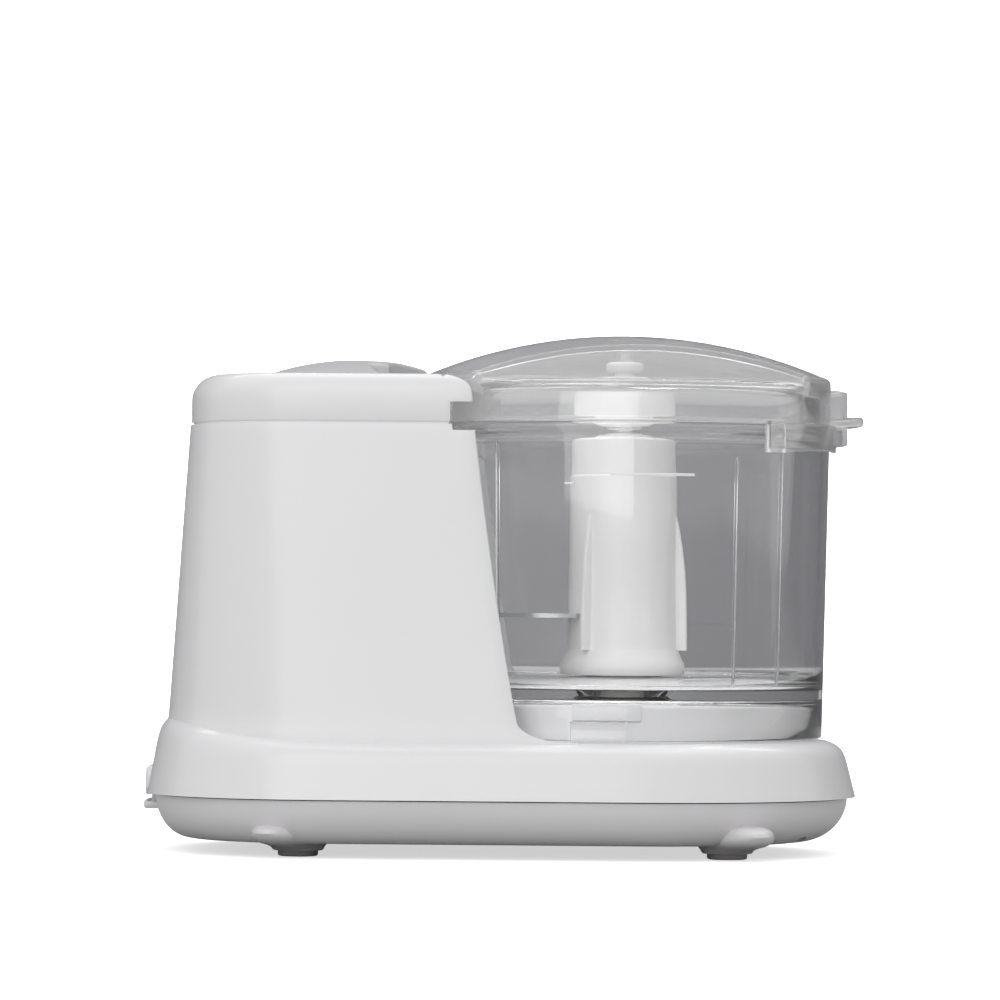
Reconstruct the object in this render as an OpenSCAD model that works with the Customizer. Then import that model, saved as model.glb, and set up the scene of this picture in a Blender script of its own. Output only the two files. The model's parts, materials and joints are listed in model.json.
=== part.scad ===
// Small electric food chopper: a motor tower and a clear bowl on one long base.
// +Z is up, +X runs from the motor tower to the bowl, and the origin is at the
// bottom centre of the whole object, on the surface that it stands on.
// Millimetres throughout.

/* [Base] */
// Left end of the base at the seam between the upper and lower shells
base_left = -98.5; // [-102:0.5:-96]
// Right end of the base at the seam
base_right = 98.3; // [95:0.1:99]
// Half the depth of the base at the seam
base_half = 64; // [62:0.5:68]
// Height of the seam between the lower tub and the upper housing
seam_z = 16.2; // [14:0.2:18]
// Height of the deck that the bowl stands on
deck_z = 31.8; // [30:0.2:34]
// Height of the flat underside of the tub
tub_bottom = 4.0; // [3:0.5:5]

/* [Motor tower] */
// Height of the seam between the tower and its top cover
cover_seam_z = 117.7; // [114:0.1:120]
// Height of the top cover's flat top
cover_top_z = 131.4; // [129:0.2:133]
// Half the depth of the tower at its top
tower_half_top = 48; // [46:0.5:50]
// Half the depth of the tower at the deck
tower_half_low = 57; // [55:0.5:59]
// Distance of the motor's axis from the origin along X
motor_x = -58; // [-60:1:-56]

/* [Bowl and lid] */
// Distance of the bowl's axis from the origin along X
bowl_x = 33; // [32:0.5:34]
// Outer radius of the bowl at its top
bowl_r = 57.5; // [57:0.1:58]
// Outer radius of the bowl at its lower edge
bowl_low_r = 55.9; // [55:0.1:57]
// Thickness of the clear bowl and lid
clear_wall = 2.2; // [1.8:0.1:2.4]
// Highest point of the lid
lid_top_z = 144.2; // [143:0.2:146]
// Radius of the sphere that the lid's arch follows
lid_sphere_r = 142; // [130:1:160]
// Half the width of the arch that is left between the two finger scoops
arch_half = 36; // [32:1:40]
// Angle by which the arch is turned from the X axis when the lid is locked
arch_turn = 7; // [0:1:12]

/* [Drive] */
// Pitch radius of the pulley under the bowl
driven_r = 22.5; // [20:0.5:24]
// Pitch radius of the pulley on the motor
driver_r = 7.5; // [7:0.5:8]
// Radius of the steel spindle
spindle_r = 3; // [2.5:0.1:3.5]

/* [Hidden] */
$fn = 64;
wall = 2.4;                       // thickness of the white shells
well_r = 63;                      // radius of the tower's hollow side round the bowl
pocket_r = 67.7;                  // radius of the pocket that the lid's tab sits in
platform_r = 52.4;                // radius of the raised round seat for the bowl
platform_z = 42.4;                // its top
floor_z = 43.4;                   // underside of the bowl's floor
floor_t = 2.5;                    // thickness of the bowl's floor
bowl_shoulder_z = 118.6;          // where the bowl's wall steps in to its neck
bowl_neck_z = 126.8;              // top of the neck
tube_r = 10.6;                    // outer radius of the bowl's centre tube
tube_bore = 8.6;                  // inner radius of the tube
tube_z = 106;                     // top of the tube
lid_seat_z = 119;                 // lower edge of the lid's skirt
ledge_z = 130.0;                  // top of the ledge in each finger scoop
tab_from = 5;                     // angles that each of the lid's two tabs spans
tab_to = 39;
tab_in = 57.0;
tab_out = 62.4;
tab_low = 114;
tab_high = 129.6;
fin_out = 67.2;
fin_low = 119.4;
fin_high = 122;
notch_low = 116;                  // the way through the tower's front wall for the fin
notch_high = 123.7;
hub_r = 14.9;                     // outer radius of the blade's column
hub_low = 47.4;
hub_high = 121;
cap_z = 136.8;                    // top of the cap on the blade's column
button_x = -49;                   // axis of the pulse button's stem
button_mid = -43;                 // where its domed top is highest
button_left = -68;                // ends of the pulse button
button_right = -26;
button_b = 35;                    // its half depth
button_hollow = 70.6;             // radius of its hollow side round the bowl
pocket_wall = 1.6;
button_dome = 150;                // radius of its domed top
button_top = 138.0;
button_foot = 127.2;              // underside of the button's skirt
button_gap = 0.6;
foot_x = [-55.8, 61.1];
foot_y = 38;
foot_r = 5.5;
pad_z = 1.6;
screw_x = [-76, 80];              // housing screws
screw_y = 30;
inlet_z = 18.9;                   // axis of the cord inlet
inlet_r = 3.0;
pulley_z = 13;                    // underside of both pulleys
pulley_h = 8;
mount_z = 36;                     // underside of the motor's mounting plate
motor_r = 21;
motor_h = 50;
eps = 0.01;
left_tip = -(bowl_x + fin_out * cos(tab_from));   // the object is as wide to the left as to the right
plunger_turn = 14;                // angle of the interlock plunger from the -X axis
plunger_z = 120.7;

// ---------- shapes that repeat ----------

// Plan of a shell: left end, right end, half depth, left and right corner radii.
function plan(xl, xr, b, rl, rr, z, m = 9) = concat(
    [for (i = [0:m - 1]) let (a = 90 * i / (m - 1)) [xr - rr + rr * cos(a), b - rr + rr * sin(a), z]],
    [for (i = [0:m - 1]) let (a = 90 + 90 * i / (m - 1)) [xl + rl + rl * cos(a), b - rl + rl * sin(a), z]],
    [for (i = [0:m - 1]) let (a = 180 + 90 * i / (m - 1)) [xl + rl + rl * cos(a), rl - b + rl * sin(a), z]],
    [for (i = [0:m - 1]) let (a = 270 + 90 * i / (m - 1)) [xr - rr + rr * cos(a), rr - b + rr * sin(a), z]]);

// A closed skin over rings of points, each ring with the same number of points.
module loft(rings) {
    n = len(rings[0]);
    k = len(rings);
    polyhedron(
        points = [for (r = rings) for (p = r) p],
        faces = concat(
            [[for (i = [0:n - 1]) i]],
            [for (j = [0:k - 2]) for (i = [0:n - 1])
                [j * n + i, (j + 1) * n + i, (j + 1) * n + (i + 1) % n]],
            [for (j = [0:k - 2]) for (i = [0:n - 1])
                [j * n + i, (j + 1) * n + (i + 1) % n, j * n + (i + 1) % n]],
            [[for (i = [n - 1:-1:0]) (k - 1) * n + i]]),
        convexity = 6);
}

module at_bowl(z = 0) { translate([bowl_x, 0, z]) children(); }

module ring(r_out, r_in, z_low, z_high) {
    translate([0, 0, z_low]) difference() {
        cylinder(r = r_out, h = z_high - z_low);
        translate([0, 0, -1]) cylinder(r = r_in, h = z_high - z_low + 2);
    }
}

// Part of a ring between two angles about the local Z axis.
module arc_block(r_in, r_out, z_low, z_high, from, to) {
    translate([0, 0, z_low]) rotate([0, 0, from])
        rotate_extrude(angle = to - from, $fn = 96)
            translate([r_in, 0]) square([r_out - r_in, z_high - z_low]);
}

// Pan-head screw, head down, the underside of its head at z = 0.
module screw(shank_r, length, head_r, head_h) {
    difference() {
        union() {
            translate([0, 0, -head_h]) cylinder(r = head_r, h = head_h, $fn = 32);
            translate([0, 0, -eps]) cylinder(r = shank_r, h = length, $fn = 24);
        }
        for (a = [0, 90]) rotate([0, 0, a])
            translate([-head_r * 0.55, -0.35, -head_h - 1]) cube([head_r * 1.1, 0.7, 1 + head_h * 0.5]);
    }
}

// Outline of the pulse button, drawn in by inset all round.
module button_plan(inset, hollow_inset) difference() {
    polygon([for (p = plan(button_left + inset, button_right - inset, button_b - inset, 24 - inset,
        7 - inset, 0, 12)) [p[0], p[1]]]);
    translate([bowl_x, 0]) circle(r = button_hollow + hollow_inset, $fn = 128);
}

// Helical wire round the local Z axis, as one closed skin.
module coil(r, wire_r, turns, height, steps = 14, sides = 6) {
    rings = round(turns * steps);
    loft([for (i = [0:rings]) let (a = 360 * i / steps, z = height * i / rings)
        [for (k = [0:sides - 1]) let (q = -360 * k / sides)
            [(r + wire_r * cos(q)) * cos(a), (r + wire_r * cos(q)) * sin(a), z + wire_r * sin(q)]]]);
}

// ---------- white shells ----------

module shoulder(inset, z_low) {
    loft([
        plan(base_left + inset, base_right - inset, base_half - inset, 50 - inset, 62 - inset, z_low),
        plan(base_left + 1.5 + inset, base_right - 2.8 - inset, base_half - 2.6 - inset, 49 - inset,
            59.4 - inset, 24),
        plan(base_left + 3.4 + inset, base_right - 5 - inset, base_half - 4.8 - inset, 48 - inset,
            57.2 - inset, 29.2),
        plan(base_left + 5.4 + inset, base_right - 7 - inset, base_half - 6.6 - inset, 46 - inset,
            55.4 - inset, deck_z - inset)]);
}

module tower_solid(inset, z_low, z_high) {
    loft([
        plan(base_left + 4 + inset, bowl_x, tower_half_low + 0.6 - inset, 46 - inset, 4, z_low),
        plan(base_left + 4.3 + inset, bowl_x, tower_half_low - inset, 45 - inset, 4, deck_z + 1.5),
        plan(base_left + 5.6 + inset, bowl_x, tower_half_low - 0.6 - inset, 44 - inset, 4, 37.5),
        plan(base_left + 11.2 + inset, bowl_x, tower_half_top - inset, 32 - inset, 4, z_high)]);
}

// Slot for the cord gland, open at the seam so that the tub's tongue clamps the gland from below.
module cord_slot(r) {
    translate([left_tip - 2, 0, inlet_z]) rotate([0, 90, 0]) cylinder(r = r, h = 22);
    translate([left_tip - 2, -r, seam_z - 2]) cube([22, 2 * r, inlet_z - seam_z + 2]);
}

module upper_housing() color("whitesmoke") difference() {
    union() {
        shoulder(0, seam_z);
        difference() {
            tower_solid(0, 22, cover_seam_z);
            at_bowl(deck_z) cylinder(r = well_r, h = 120, $fn = 128);
        }
        at_bowl(deck_z - 3) cylinder(r = platform_r, h = platform_z - deck_z + 3, $fn = 128);
        at_bowl() for (a = [0, 180])
            arc_block(platform_r - 1, platform_r + 1.0, 37.6, platform_z, a + 74.5, a + 94);
        translate([left_tip + 0.4, -8, seam_z + 0.4]) cube([6, 16, 6.7]);
    }
    difference() {
        union() {
            shoulder(wall, seam_z - 1);
            tower_solid(wall, 22, cover_seam_z + 1);
        }
        for (x = screw_x, y = [-screw_y, screw_y]) translate([x, y, 15.92]) cylinder(r = 4.2, h = 14, $fn = 32);
        for (s = [-1, 1]) {
            translate([screw_x[0], s * (screw_y + 10), 22.9]) cube([2, 20, 14], center = true);
            translate([-72, s * 37, 95.5]) cube([9, 36, 9], center = true);
        }
        at_bowl(deck_z - wall) cylinder(r = well_r + wall, h = 120, $fn = 128);
        at_bowl(notch_low - wall) cylinder(r = pocket_r + pocket_wall, h = 20, $fn = 128);
    }
    at_bowl(deck_z - wall - 1) ring(platform_r - wall, 11.5, 0, platform_z - deck_z + 1);
    at_bowl(0) cylinder(r = 6.0, h = 60);
    at_bowl(0) cylinder(r = 7.7, h = 30.02);
    at_bowl(platform_z - 2.4) cylinder(r = 9.5, h = 10);
    at_bowl() arc_block(well_r - 1, pocket_r, notch_low, cover_seam_z + 1, 181, 240);
    cord_slot(3.9);
    for (x = screw_x, y = [-screw_y, screw_y]) translate([x, y, 15]) cylinder(r = 1.5, h = 9, $fn = 24);
    for (s = [-1, 1]) translate([-72, s * 24, 92]) cylinder(r = 1.25, h = 10, $fn = 24);
}

module cord_gland() color("gainsboro") difference() {
    union() {
        translate([left_tip + 0.1, 0, inlet_z]) rotate([0, 90, 0]) cylinder(r = 3.85, h = 17, $fn = 48);
        translate([left_tip + 6.5, 0, inlet_z]) rotate([0, 90, 0]) cylinder(r = 4.9, h = 1.4, $fn = 48);
    }
    translate([left_tip - 2, 0, inlet_z]) rotate([0, 90, 0]) cylinder(r = inlet_r, h = 30, $fn = 48);
}

// The cover's lower edge is drawn in, which leaves a fine groove above the housing.
function cover_rings(inset) = concat(
    [for (q = [[0.7, 0.02], [0.7, 0.5], [0, 0.8]])
        plan(base_left + 11.5 + q[0] + inset, bowl_x, tower_half_top - 0.2 - q[0] - inset, 32 - inset, 4,
            cover_seam_z + q[1] - (inset > 0 ? 1 : 0))],
    [for (t = [0:18:90]) let (e = 7 * (1 - cos(t)))
        plan(base_left + 11.5 + e + inset, bowl_x, tower_half_top - 0.5 - e - inset, 31.6 - e - inset, 4,
            cover_top_z - inset - 7 + 7 * sin(t))]);

module top_cover() color("whitesmoke") difference() {
    loft(cover_rings(0));
    difference() {
        loft(cover_rings(wall));
        at_bowl(100) cylinder(r = pocket_r + pocket_wall, h = 60, $fn = 128);
    }
    at_bowl(100) cylinder(r = well_r, h = 60, $fn = 128);
    at_bowl() arc_block(well_r - 1, pocket_r, 100, 150, 181, 222);
    at_bowl() arc_block(well_r - 1, pocket_r, 100, notch_high, 219, 240);
    translate([0, 0, 100]) linear_extrude(60) button_plan(-button_gap, -button_gap);
    at_bowl() rotate([0, 0, plunger_turn]) translate([-80, 0, plunger_z])
        rotate([0, 90, 0]) cylinder(r = 1.9, h = 20, $fn = 32);
}

function tub_rings(inset) = [for (t = [90:-15:0]) let (q = 1 - cos(t), e = 10 * q + inset)
    plan(base_left + 1 + e, base_right - 2.4 - 4 * q - e, base_half - 0.8 - e, 49.4 - e, 61.2 - e,
        seam_z - 0.3 - (seam_z - 0.3 - tub_bottom - inset) * sin(t))];

module foot_boss(x, y) {
    translate([x, y, pad_z]) cylinder(r1 = 7.0, r2 = 9.6, h = 5, $fn = 48);
    translate([x, y, 7.2]) sphere(r = 9.2, $fn = 48);
}

module bottom_tub() color("gainsboro") difference() {
    union() {
        difference() {
            union() {
                loft(tub_rings(0));
                for (x = foot_x, y = [-foot_y, foot_y]) intersection() {
                    foot_boss(x, y);
                    translate([-120, -62, pad_z]) cube([240, 124, 12.3]);
                }
            }
            difference() {
                loft(concat(tub_rings(wall), [[for (p = tub_rings(wall)[6]) [p[0], p[1], seam_z + 1]]]));
                for (x = screw_x, y = [-screw_y, screw_y])
                    translate([x, y, 0]) cylinder(r = 4.2, h = 40, $fn = 32);
                for (x = [-80, -36], y = [-18, 18])
                    translate([x, y, 0]) cylinder(r = 3.6, h = 40, $fn = 32);
                for (x = foot_x, y = [-foot_y, foot_y]) foot_boss(x, y);
            }
        }
        for (x = [-80, -36], y = [-18, 18])
            translate([x, y, tub_bottom + 1]) cylinder(r = 3.6, h = mount_z - tub_bottom - 1, $fn = 32);
        translate([left_tip, -9, 11.4]) cube([7, 18, 2.0]);
        translate([left_tip, -9, 11.4]) cube([1.3, 18, 2.4]);
        translate([left_tip + 2.5, -3.7, 14.2]) cube([3.6, 7.4, 2.3]);
    }
    translate([left_tip, 0, inlet_z]) rotate([0, 90, 0]) cylinder(r = 3.9, h = 10, $fn = 48);
    for (x = screw_x, y = [-screw_y, screw_y]) {
        translate([x, y, 0]) cylinder(r = 1.8, h = 40, $fn = 24);
        translate([x, y, 0]) cylinder(r = 3.2, h = 9, $fn = 32);
    }
    for (x = [-80, -36], y = [-18, 18]) translate([x, y, 24]) cylinder(r = 1.2, h = 30, $fn = 24);
    for (i = [-3:3]) translate([-18 + i * 6, -20, 0]) cube([2.6, 40, 8]);
    for (x = foot_x, y = [-foot_y, foot_y]) translate([x, y, 0]) cylinder(r = 2.0, h = 4.5, $fn = 24);
    for (y = [-24, 24]) at_bowl(4.6) translate([0, y, 0]) cylinder(r = 1.3, h = 4, $fn = 24);
}

module rubber_foot(i, s) color("dimgray") translate([foot_x[i], s * foot_y, 0]) {
    cylinder(r = foot_r, h = pad_z, $fn = 48);
    translate([0, 0, pad_z - eps]) cylinder(r = 1.95, h = 2.6, $fn = 24);
}

module housing_screws() color("silver")
    for (x = screw_x, y = [-screw_y, screw_y]) translate([x, y, 8.98]) screw(1.4, 12, 2.9, 1.8);

// ---------- motor ----------

module motor_mount_plate() color("silver") difference() {
    translate([-84.5, -22.5, mount_z]) cube([50.5, 45, 1.6]);
    translate([motor_x, 0, mount_z - 1]) cylinder(r = 7.2, h = 4, $fn = 48);
    for (x = [-80, -36], y = [-18, 18]) translate([x, y, mount_z - 1]) cylinder(r = 1.7, h = 4, $fn = 24);
    for (y = [-14, 14]) translate([motor_x, y, mount_z - 1]) cylinder(r = 1.7, h = 4, $fn = 24);
}

module plate_screws() color("dimgray")
    for (x = [-80, -36], y = [-18, 18])
        translate([x, y, mount_z + 1.62]) rotate([180, 0, 0]) screw(1.15, 9, 2.8, 1.6);

module motor_can() color("silver") translate([motor_x, 0, mount_z + 1.6]) difference() {
    cylinder(r = motor_r, h = motor_h, $fn = 96);
    translate([0, 0, 1.4]) cylinder(r = motor_r - 1.4, h = motor_h, $fn = 96);
    translate([0, 0, -1]) cylinder(r = 3.4, h = 6, $fn = 32);
    for (y = [-14, 14]) translate([0, y, -1]) cylinder(r = 1.2, h = 6, $fn = 24);
    for (a = [45:90:315]) rotate([0, 0, a]) translate([motor_r - 3, -4, 38]) cube([6, 8, 6]);
}

module motor_end_bell() color("dimgray") translate([motor_x, 0, mount_z + 1.6 + motor_h]) difference() {
    union() {
        cylinder(r = motor_r - 0.05, h = 3.2, $fn = 96);
        translate([0, 0, 3.1]) cylinder(r = 6, h = 3.6, $fn = 48);
        translate([0, 0, -4]) cylinder(r = motor_r - 1.45, h = 4.1, $fn = 96);
    }
    translate([0, 0, -5]) cylinder(r = motor_r - 3.4, h = 6.6, $fn = 96);
    translate([0, 0, -5]) cylinder(r = 3.4, h = 15, $fn = 32);
    for (a = [0, 180]) rotate([0, 0, a]) translate([8, -3, -6]) cube([8, 6, 12]);
}

module brush_holders() color("peru") translate([motor_x, 0, mount_z + 1.6 + motor_h])
    for (a = [0, 180]) rotate([0, 0, a]) translate([8.1, -2.9, -9.4]) cube([7.8, 5.8, 14]);

module motor_screws() color("dimgray")
    for (y = [-14, 14]) translate([motor_x, y, mount_z - 0.02]) screw(1.15, 3.6, 2.6, 1.5);

module armature() color("peru") translate([motor_x, 0, 0]) {
    for (a = [0:60:300]) rotate([0, 0, a]) translate([4, -3.4, 46]) cube([11, 6.8, 30]);
    difference() {
        translate([0, 0, 46]) cylinder(r = 6, h = 30, $fn = 48);
        translate([0, 0, 45]) cylinder(r = 2, h = 40, $fn = 32);
    }
}

module commutator() color("peru") translate([motor_x, 0, 0]) difference() {
    ring(6.8, 2, 78, 86);
    for (a = [0:60:300]) rotate([0, 0, a + 30]) translate([5.6, -0.3, 77]) cube([2, 0.6, 10]);
}

module magnets() color("dimgray") translate([motor_x, 0, 0])
    for (a = [0, 180]) arc_block(16.1, motor_r - 1.42, 46, 76, a - 62, a + 62);

module motor_shaft() color("lightgray") translate([motor_x, 0, 10.5]) cylinder(r = 2, h = 82, $fn = 32);

module motor_bushes() color("darkgoldenrod") translate([motor_x, 0, 0]) {
    ring(3.37, 2.04, 37.2, 39.6);
    ring(3.37, 2.04, 90.8, 94.2);
}

module motor_fan() color("dimgray") translate([motor_x, 0, 0]) {
    ring(5, 2.0, 40, 45);
    for (a = [0:45:315]) rotate([0, 0, a]) translate([4.8, -0.6, 40.4]) cube([12, 1.2, 4.2]);
}

module pulley(r, bore) {
    difference() {
        union() {
            cylinder(r = r - 0.1, h = pulley_h, $fn = 96);
            for (z = [0, pulley_h - 1]) translate([0, 0, z]) cylinder(r = r + 1.6, h = 1, $fn = 96);
        }
        translate([0, 0, -1]) cylinder(r = bore, h = pulley_h + 2, $fn = 48);
    }
}

module motor_pulley() color("dimgray") translate([motor_x, 0, pulley_z]) pulley(driver_r, 2);

// ---------- belt and bowl drive ----------

belt_t = 1.2;
belt_span = bowl_x - motor_x;
belt_tilt = asin((driven_r - driver_r) / belt_span);

// Outline of the belt, grown by g all round.
function belt_outline(g) = concat(
    [for (i = [0:40]) let (a = (90 + belt_tilt) * (i / 20 - 1))
        [belt_span + (driven_r + g) * cos(a), (driven_r + g) * sin(a)]],
    [for (i = [0:16]) let (a = 180 + (90 - belt_tilt) * (i / 8 - 1))
        [(driver_r + g) * cos(a), (driver_r + g) * sin(a)]]);

module drive_belt() color("dimgray")
    translate([motor_x, 0, pulley_z + 1.3]) linear_extrude(pulley_h - 2.6) difference() {
        polygon(belt_outline(belt_t));
        polygon(belt_outline(0));
    }

module driven_pulley() color("whitesmoke") at_bowl(pulley_z) difference() {
    pulley(driven_r, spindle_r);
    for (a = [0:60:300]) rotate([0, 0, a]) translate([13.5, 0, -1]) cylinder(r = 4.2, h = 12, $fn = 32);
}

module spindle() color("lightgray") at_bowl(8.6) difference() {
    cylinder(r = spindle_r, h = 96, $fn = 48);
    ring(5, spindle_r - 0.5, 1.2, 2.0);
}

module retaining_clip() color("silver") at_bowl() difference() {
    ring(5.2, 2.6, 9.85, 10.55);
    translate([0, -1.6, 9]) cube([8, 3.2, 3]);
}

module upper_bush() color("darkgoldenrod") at_bowl() {
    ring(5.95, spindle_r + 0.04, 30, 39.8);
    ring(7.6, spindle_r + 0.04, 28.4, 30.01);
}

module lower_bush() color("darkgoldenrod") at_bowl() ring(5.95, spindle_r + 0.04, 10.9, 12.8);

module bearing_bracket() color("gainsboro") difference() {
    union() {
        at_bowl(6.6) translate([-14, -28, 0]) cube([28, 56, 1.4]);
        at_bowl(6.6) ring(9, 5.97, 1.3, 6.2);
        at_bowl(8) for (a = [45:90:315]) rotate([0, 0, a]) translate([8.6, -0.8, -0.5]) cube([4.5, 1.6, 3.6]);
    }
    at_bowl(6) cylinder(r = 5.97, h = 3.9, $fn = 64);
    for (y = [-24, 24]) at_bowl(5) translate([0, y, 0]) cylinder(r = 1.7, h = 4, $fn = 24);
}

module bracket_screws() color("silver")
    for (y = [-24, 24]) at_bowl(8.02) translate([0, y, 0]) rotate([180, 0, 0]) screw(1.2, 3.2, 2.6, 1.5);

module spindle_seal() color("dimgray") at_bowl() {
    ring(9.4, 6.4, 40.06, 42.2);
    ring(6.5, spindle_r + 0.06, 40.06, 41.0);
}

module drive_coupler() color("whitesmoke") at_bowl() difference() {
    union() {
        translate([0, 0, 43.2]) cylinder(r = 6.4, h = 60, $fn = 64);
        translate([0, 0, 103]) cylinder(r = 5.2, h = 11, $fn = 6);
    }
    translate([0, 0, 40]) cylinder(r = spindle_r, h = 64.6, $fn = 48);
}

// ---------- pulse button and switches ----------

seat_low = 132.2;                 // underside of the spring's seat in the button
holder_top = 117.9;               // the spring's seat on the switch holder
wire_r = 0.45;

module button_dome_ball(inset) {
    translate([button_mid, 0, button_top - button_dome]) sphere(r = button_dome - inset, $fn = 200);
}

module pulse_button() color("lightgray") difference() {
    union() {
        intersection() {
            translate([0, 0, button_foot]) linear_extrude(40) button_plan(0, 0);
            button_dome_ball(0);
        }
        translate([0, 0, button_foot]) linear_extrude(1.6) button_plan(-1.6, 0);
        translate([button_x, 0, 121]) cylinder(r = 3.0, h = seat_low - 121 + 1, $fn = 32);
    }
    difference() {
        intersection() {
            translate([0, 0, 100]) linear_extrude(60) button_plan(2, 2);
            button_dome_ball(2);
        }
        translate([button_x, 0, 121]) cylinder(r = 3.0, h = 40, $fn = 32);
        translate([button_x, 0, seat_low]) cylinder(r = 6.6, h = 40, $fn = 32);
    }
}

module pulse_spring() color("silver") translate([button_x, 0, holder_top + wire_r + 0.05])
    coil(5.0, wire_r, 5, seat_low - holder_top - 2 * wire_r - 0.1);

module switch_holder() color("gainsboro") difference() {
    union() {
        translate([-76, -20, 100]) cube([40, 40, 2]);
        translate([-62, -28, 100]) cube([24, 9, 2]);
        at_bowl(101.9) rotate([0, 0, plunger_turn]) translate([-87.3, -5, 0]) cube([6.4, 10, 11.85]);
        difference() {
            translate([button_x - 9.5, -7.8, 101.9]) cube([19, 15.6, 16]);
            translate([button_x - 8.1, -9, 101]) cube([16.2, 18, 15.3]);
            translate([button_x, 0, 110]) cylinder(r = 3.4, h = 20, $fn = 32);
        }
        for (s = [-1, 1]) translate([-72, s * 24, 100]) difference() {
            translate([-4, -5, 0]) cube([8, 10, 2]);
            translate([0, 0, -1]) cylinder(r = 1.7, h = 4, $fn = 24);
        }
    }
    translate([-52, 10, 99]) cylinder(r = 3, h = 4, $fn = 32);
}

module pulse_switch() color("dimgray") difference() {
    translate([button_x - 8, -6.5, 102.1]) cube([16, 13, 12]);
    translate([button_x, 0, 108]) cylinder(r = 1.6, h = 10, $fn = 32);
}

module switch_plunger() color("crimson") translate([button_x, 0, 112]) cylinder(r = 1.5, h = 8.9, $fn = 32);

module interlock_plunger() color("gainsboro") at_bowl() rotate([0, 0, plunger_turn])
    translate([-80, 0, plunger_z]) rotate([0, 90, 0]) {
        cylinder(r = 1.8, h = 80 - fin_out - 0.35, $fn = 32);
        cylinder(r = 3.0, h = 1.2, $fn = 32);
    }

module interlock_switch() color("dimgray") at_bowl() rotate([0, 0, plunger_turn]) difference() {
    translate([-87.5, -6, 113.8]) cube([7, 12, 9.4]);
    translate([-88, -1.2, 112]) cube([8, 2.4, 4]);
}

module rectifier_board() color("seagreen") {
    translate([-74, 9.5, 102.05]) cube([26, 9, 1.4]);
    for (x = [-71, -65, -59]) translate([x, 12, 103.4]) cube([3.4, 4, 4]);
}

module holder_screws() color("silver")
    for (s = [-1, 1]) translate([-72, s * 24, 102.02]) rotate([180, 0, 0]) screw(1.2, 6, 2.6, 1.5);

// ---------- bowl, lid and blade ----------

module bowl() color("lightcyan", 0.4) at_bowl() difference() {
    union() {
        rotate_extrude($fn = 160) polygon([
            [tube_bore, floor_z], [bowl_low_r - clear_wall - 0.2, floor_z],
            [bowl_low_r - clear_wall - 0.2, deck_z + 0.5], [bowl_low_r, deck_z + 0.5],
            [bowl_r, bowl_shoulder_z], [54.8, bowl_shoulder_z], [54.8, bowl_neck_z],
            [52.9, bowl_neck_z], [52.9, bowl_shoulder_z - 1.5], [bowl_r - clear_wall, bowl_shoulder_z - 4],
            [bowl_low_r - clear_wall, floor_z + floor_t], [tube_r, floor_z + floor_t],
            [tube_r - 0.4, tube_z], [tube_bore, tube_z]]);
        for (a = [230.6, 302, 319, 150]) rotate([0, 0, a])
            translate([52.4, -0.8, floor_z + floor_t - 1]) cube([3.2, 1.6, 66]);
        for (a = [0, 180]) arc_block(platform_r + 0.25, bowl_low_r - 1, deck_z + 1, 37.3, a + 74, a + 89.5);
    }
}

module lid_tab(turn) rotate([0, 0, turn]) {
    difference() {
        arc_block(tab_in, tab_out, tab_low, tab_high, tab_from, tab_to);
        arc_block(tab_in - 1, tab_out - 1.4, tab_low - 1, lid_seat_z - 0.2, tab_from - 1, tab_to + 1);
    }
    arc_block(tab_out - 0.3, fin_out, fin_low, fin_high, tab_from, tab_to);
    difference() {
        arc_block(bowl_r - 1, bowl_r + 2.1, 112, lid_seat_z + 2, -49, tab_from + 1);
        arc_block(bowl_r - 2, bowl_r + 0.3, 111, lid_seat_z, -50, tab_from + 2);
    }
}

// Solid under the lid's surface: a disc with the arch of a sphere standing on it.
module lid_form(inset) {
    translate([0, 0, lid_seat_z - (inset > 0 ? 1 : 0)])
        cylinder(r = bowl_r - inset, h = ledge_z - inset - lid_seat_z + (inset > 0 ? 1 : 0), $fn = 160);
    intersection() {
        cylinder(r = bowl_r - inset, h = 200, $fn = 160);
        translate([0, 0, lid_top_z - lid_sphere_r]) sphere(r = lid_sphere_r - inset, $fn = 160);
        rotate([0, 0, arch_turn]) translate([-80, -arch_half + inset, ledge_z - inset - 1])
            cube([160, 2 * (arch_half - inset), 40]);
    }
}

module lid() color("lightcyan", 0.4) at_bowl() {
    difference() {
        lid_form(0);
        lid_form(clear_wall);
        translate([0, 0, 130]) cylinder(r = 2.0, h = lid_top_z - 130 - 1, $fn = 48);
    }
    for (t = [0, 180]) lid_tab(t);
}

// Pin on the lid's axis: it is pressed into the lid, and the blade's column turns under it.
module lid_pin() color("lightcyan", 0.4) at_bowl(cap_z + 0.06) {
    cylinder(r = 1.95, h = lid_top_z - 1 - cap_z - 0.08, $fn = 48);
    cylinder(r = 2.8, h = 1.2, $fn = 48);
}

module blade_hub() color("white") at_bowl() {
    difference() {
        union() {
            rotate_extrude($fn = 96) polygon([
                [0, hub_low], [17.4, hub_low], [17.4, 53], [hub_r + 0.5, 57], [hub_r, 100], [hub_r, hub_high - 3],
                [hub_r - 3, hub_high], [8.2, hub_high + 1.5], [7.6, 129], [5.6, 131], [2.6, 131], [2.6, 134.2],
                [0, 134.2]]);
            for (a = [-10, 110, 230]) rotate([0, 0, a])
                translate([hub_r - 1, -1.1, 56]) cube([4.3, 2.2, 50]);
        }
        translate([0, 0, hub_low - 1]) cylinder(r = 12.6, h = tube_z + 0.8 - hub_low + 1, $fn = 96);
        translate([0, 0, tube_z]) cylinder(r = 5.4, h = 9, $fn = 6);
        at_blade_slots() translate([10, -5.2, -0.7]) cube([9, 10.4, 1.4]);
    }
}

blade_seats = [[0, 49.6], [180, 66]];   // angle and height of each blade's middle plane

module at_blade_slots() {
    for (b = blade_seats) rotate([0, 0, b[0]]) translate([0, 0, b[1]]) children();
}

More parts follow.
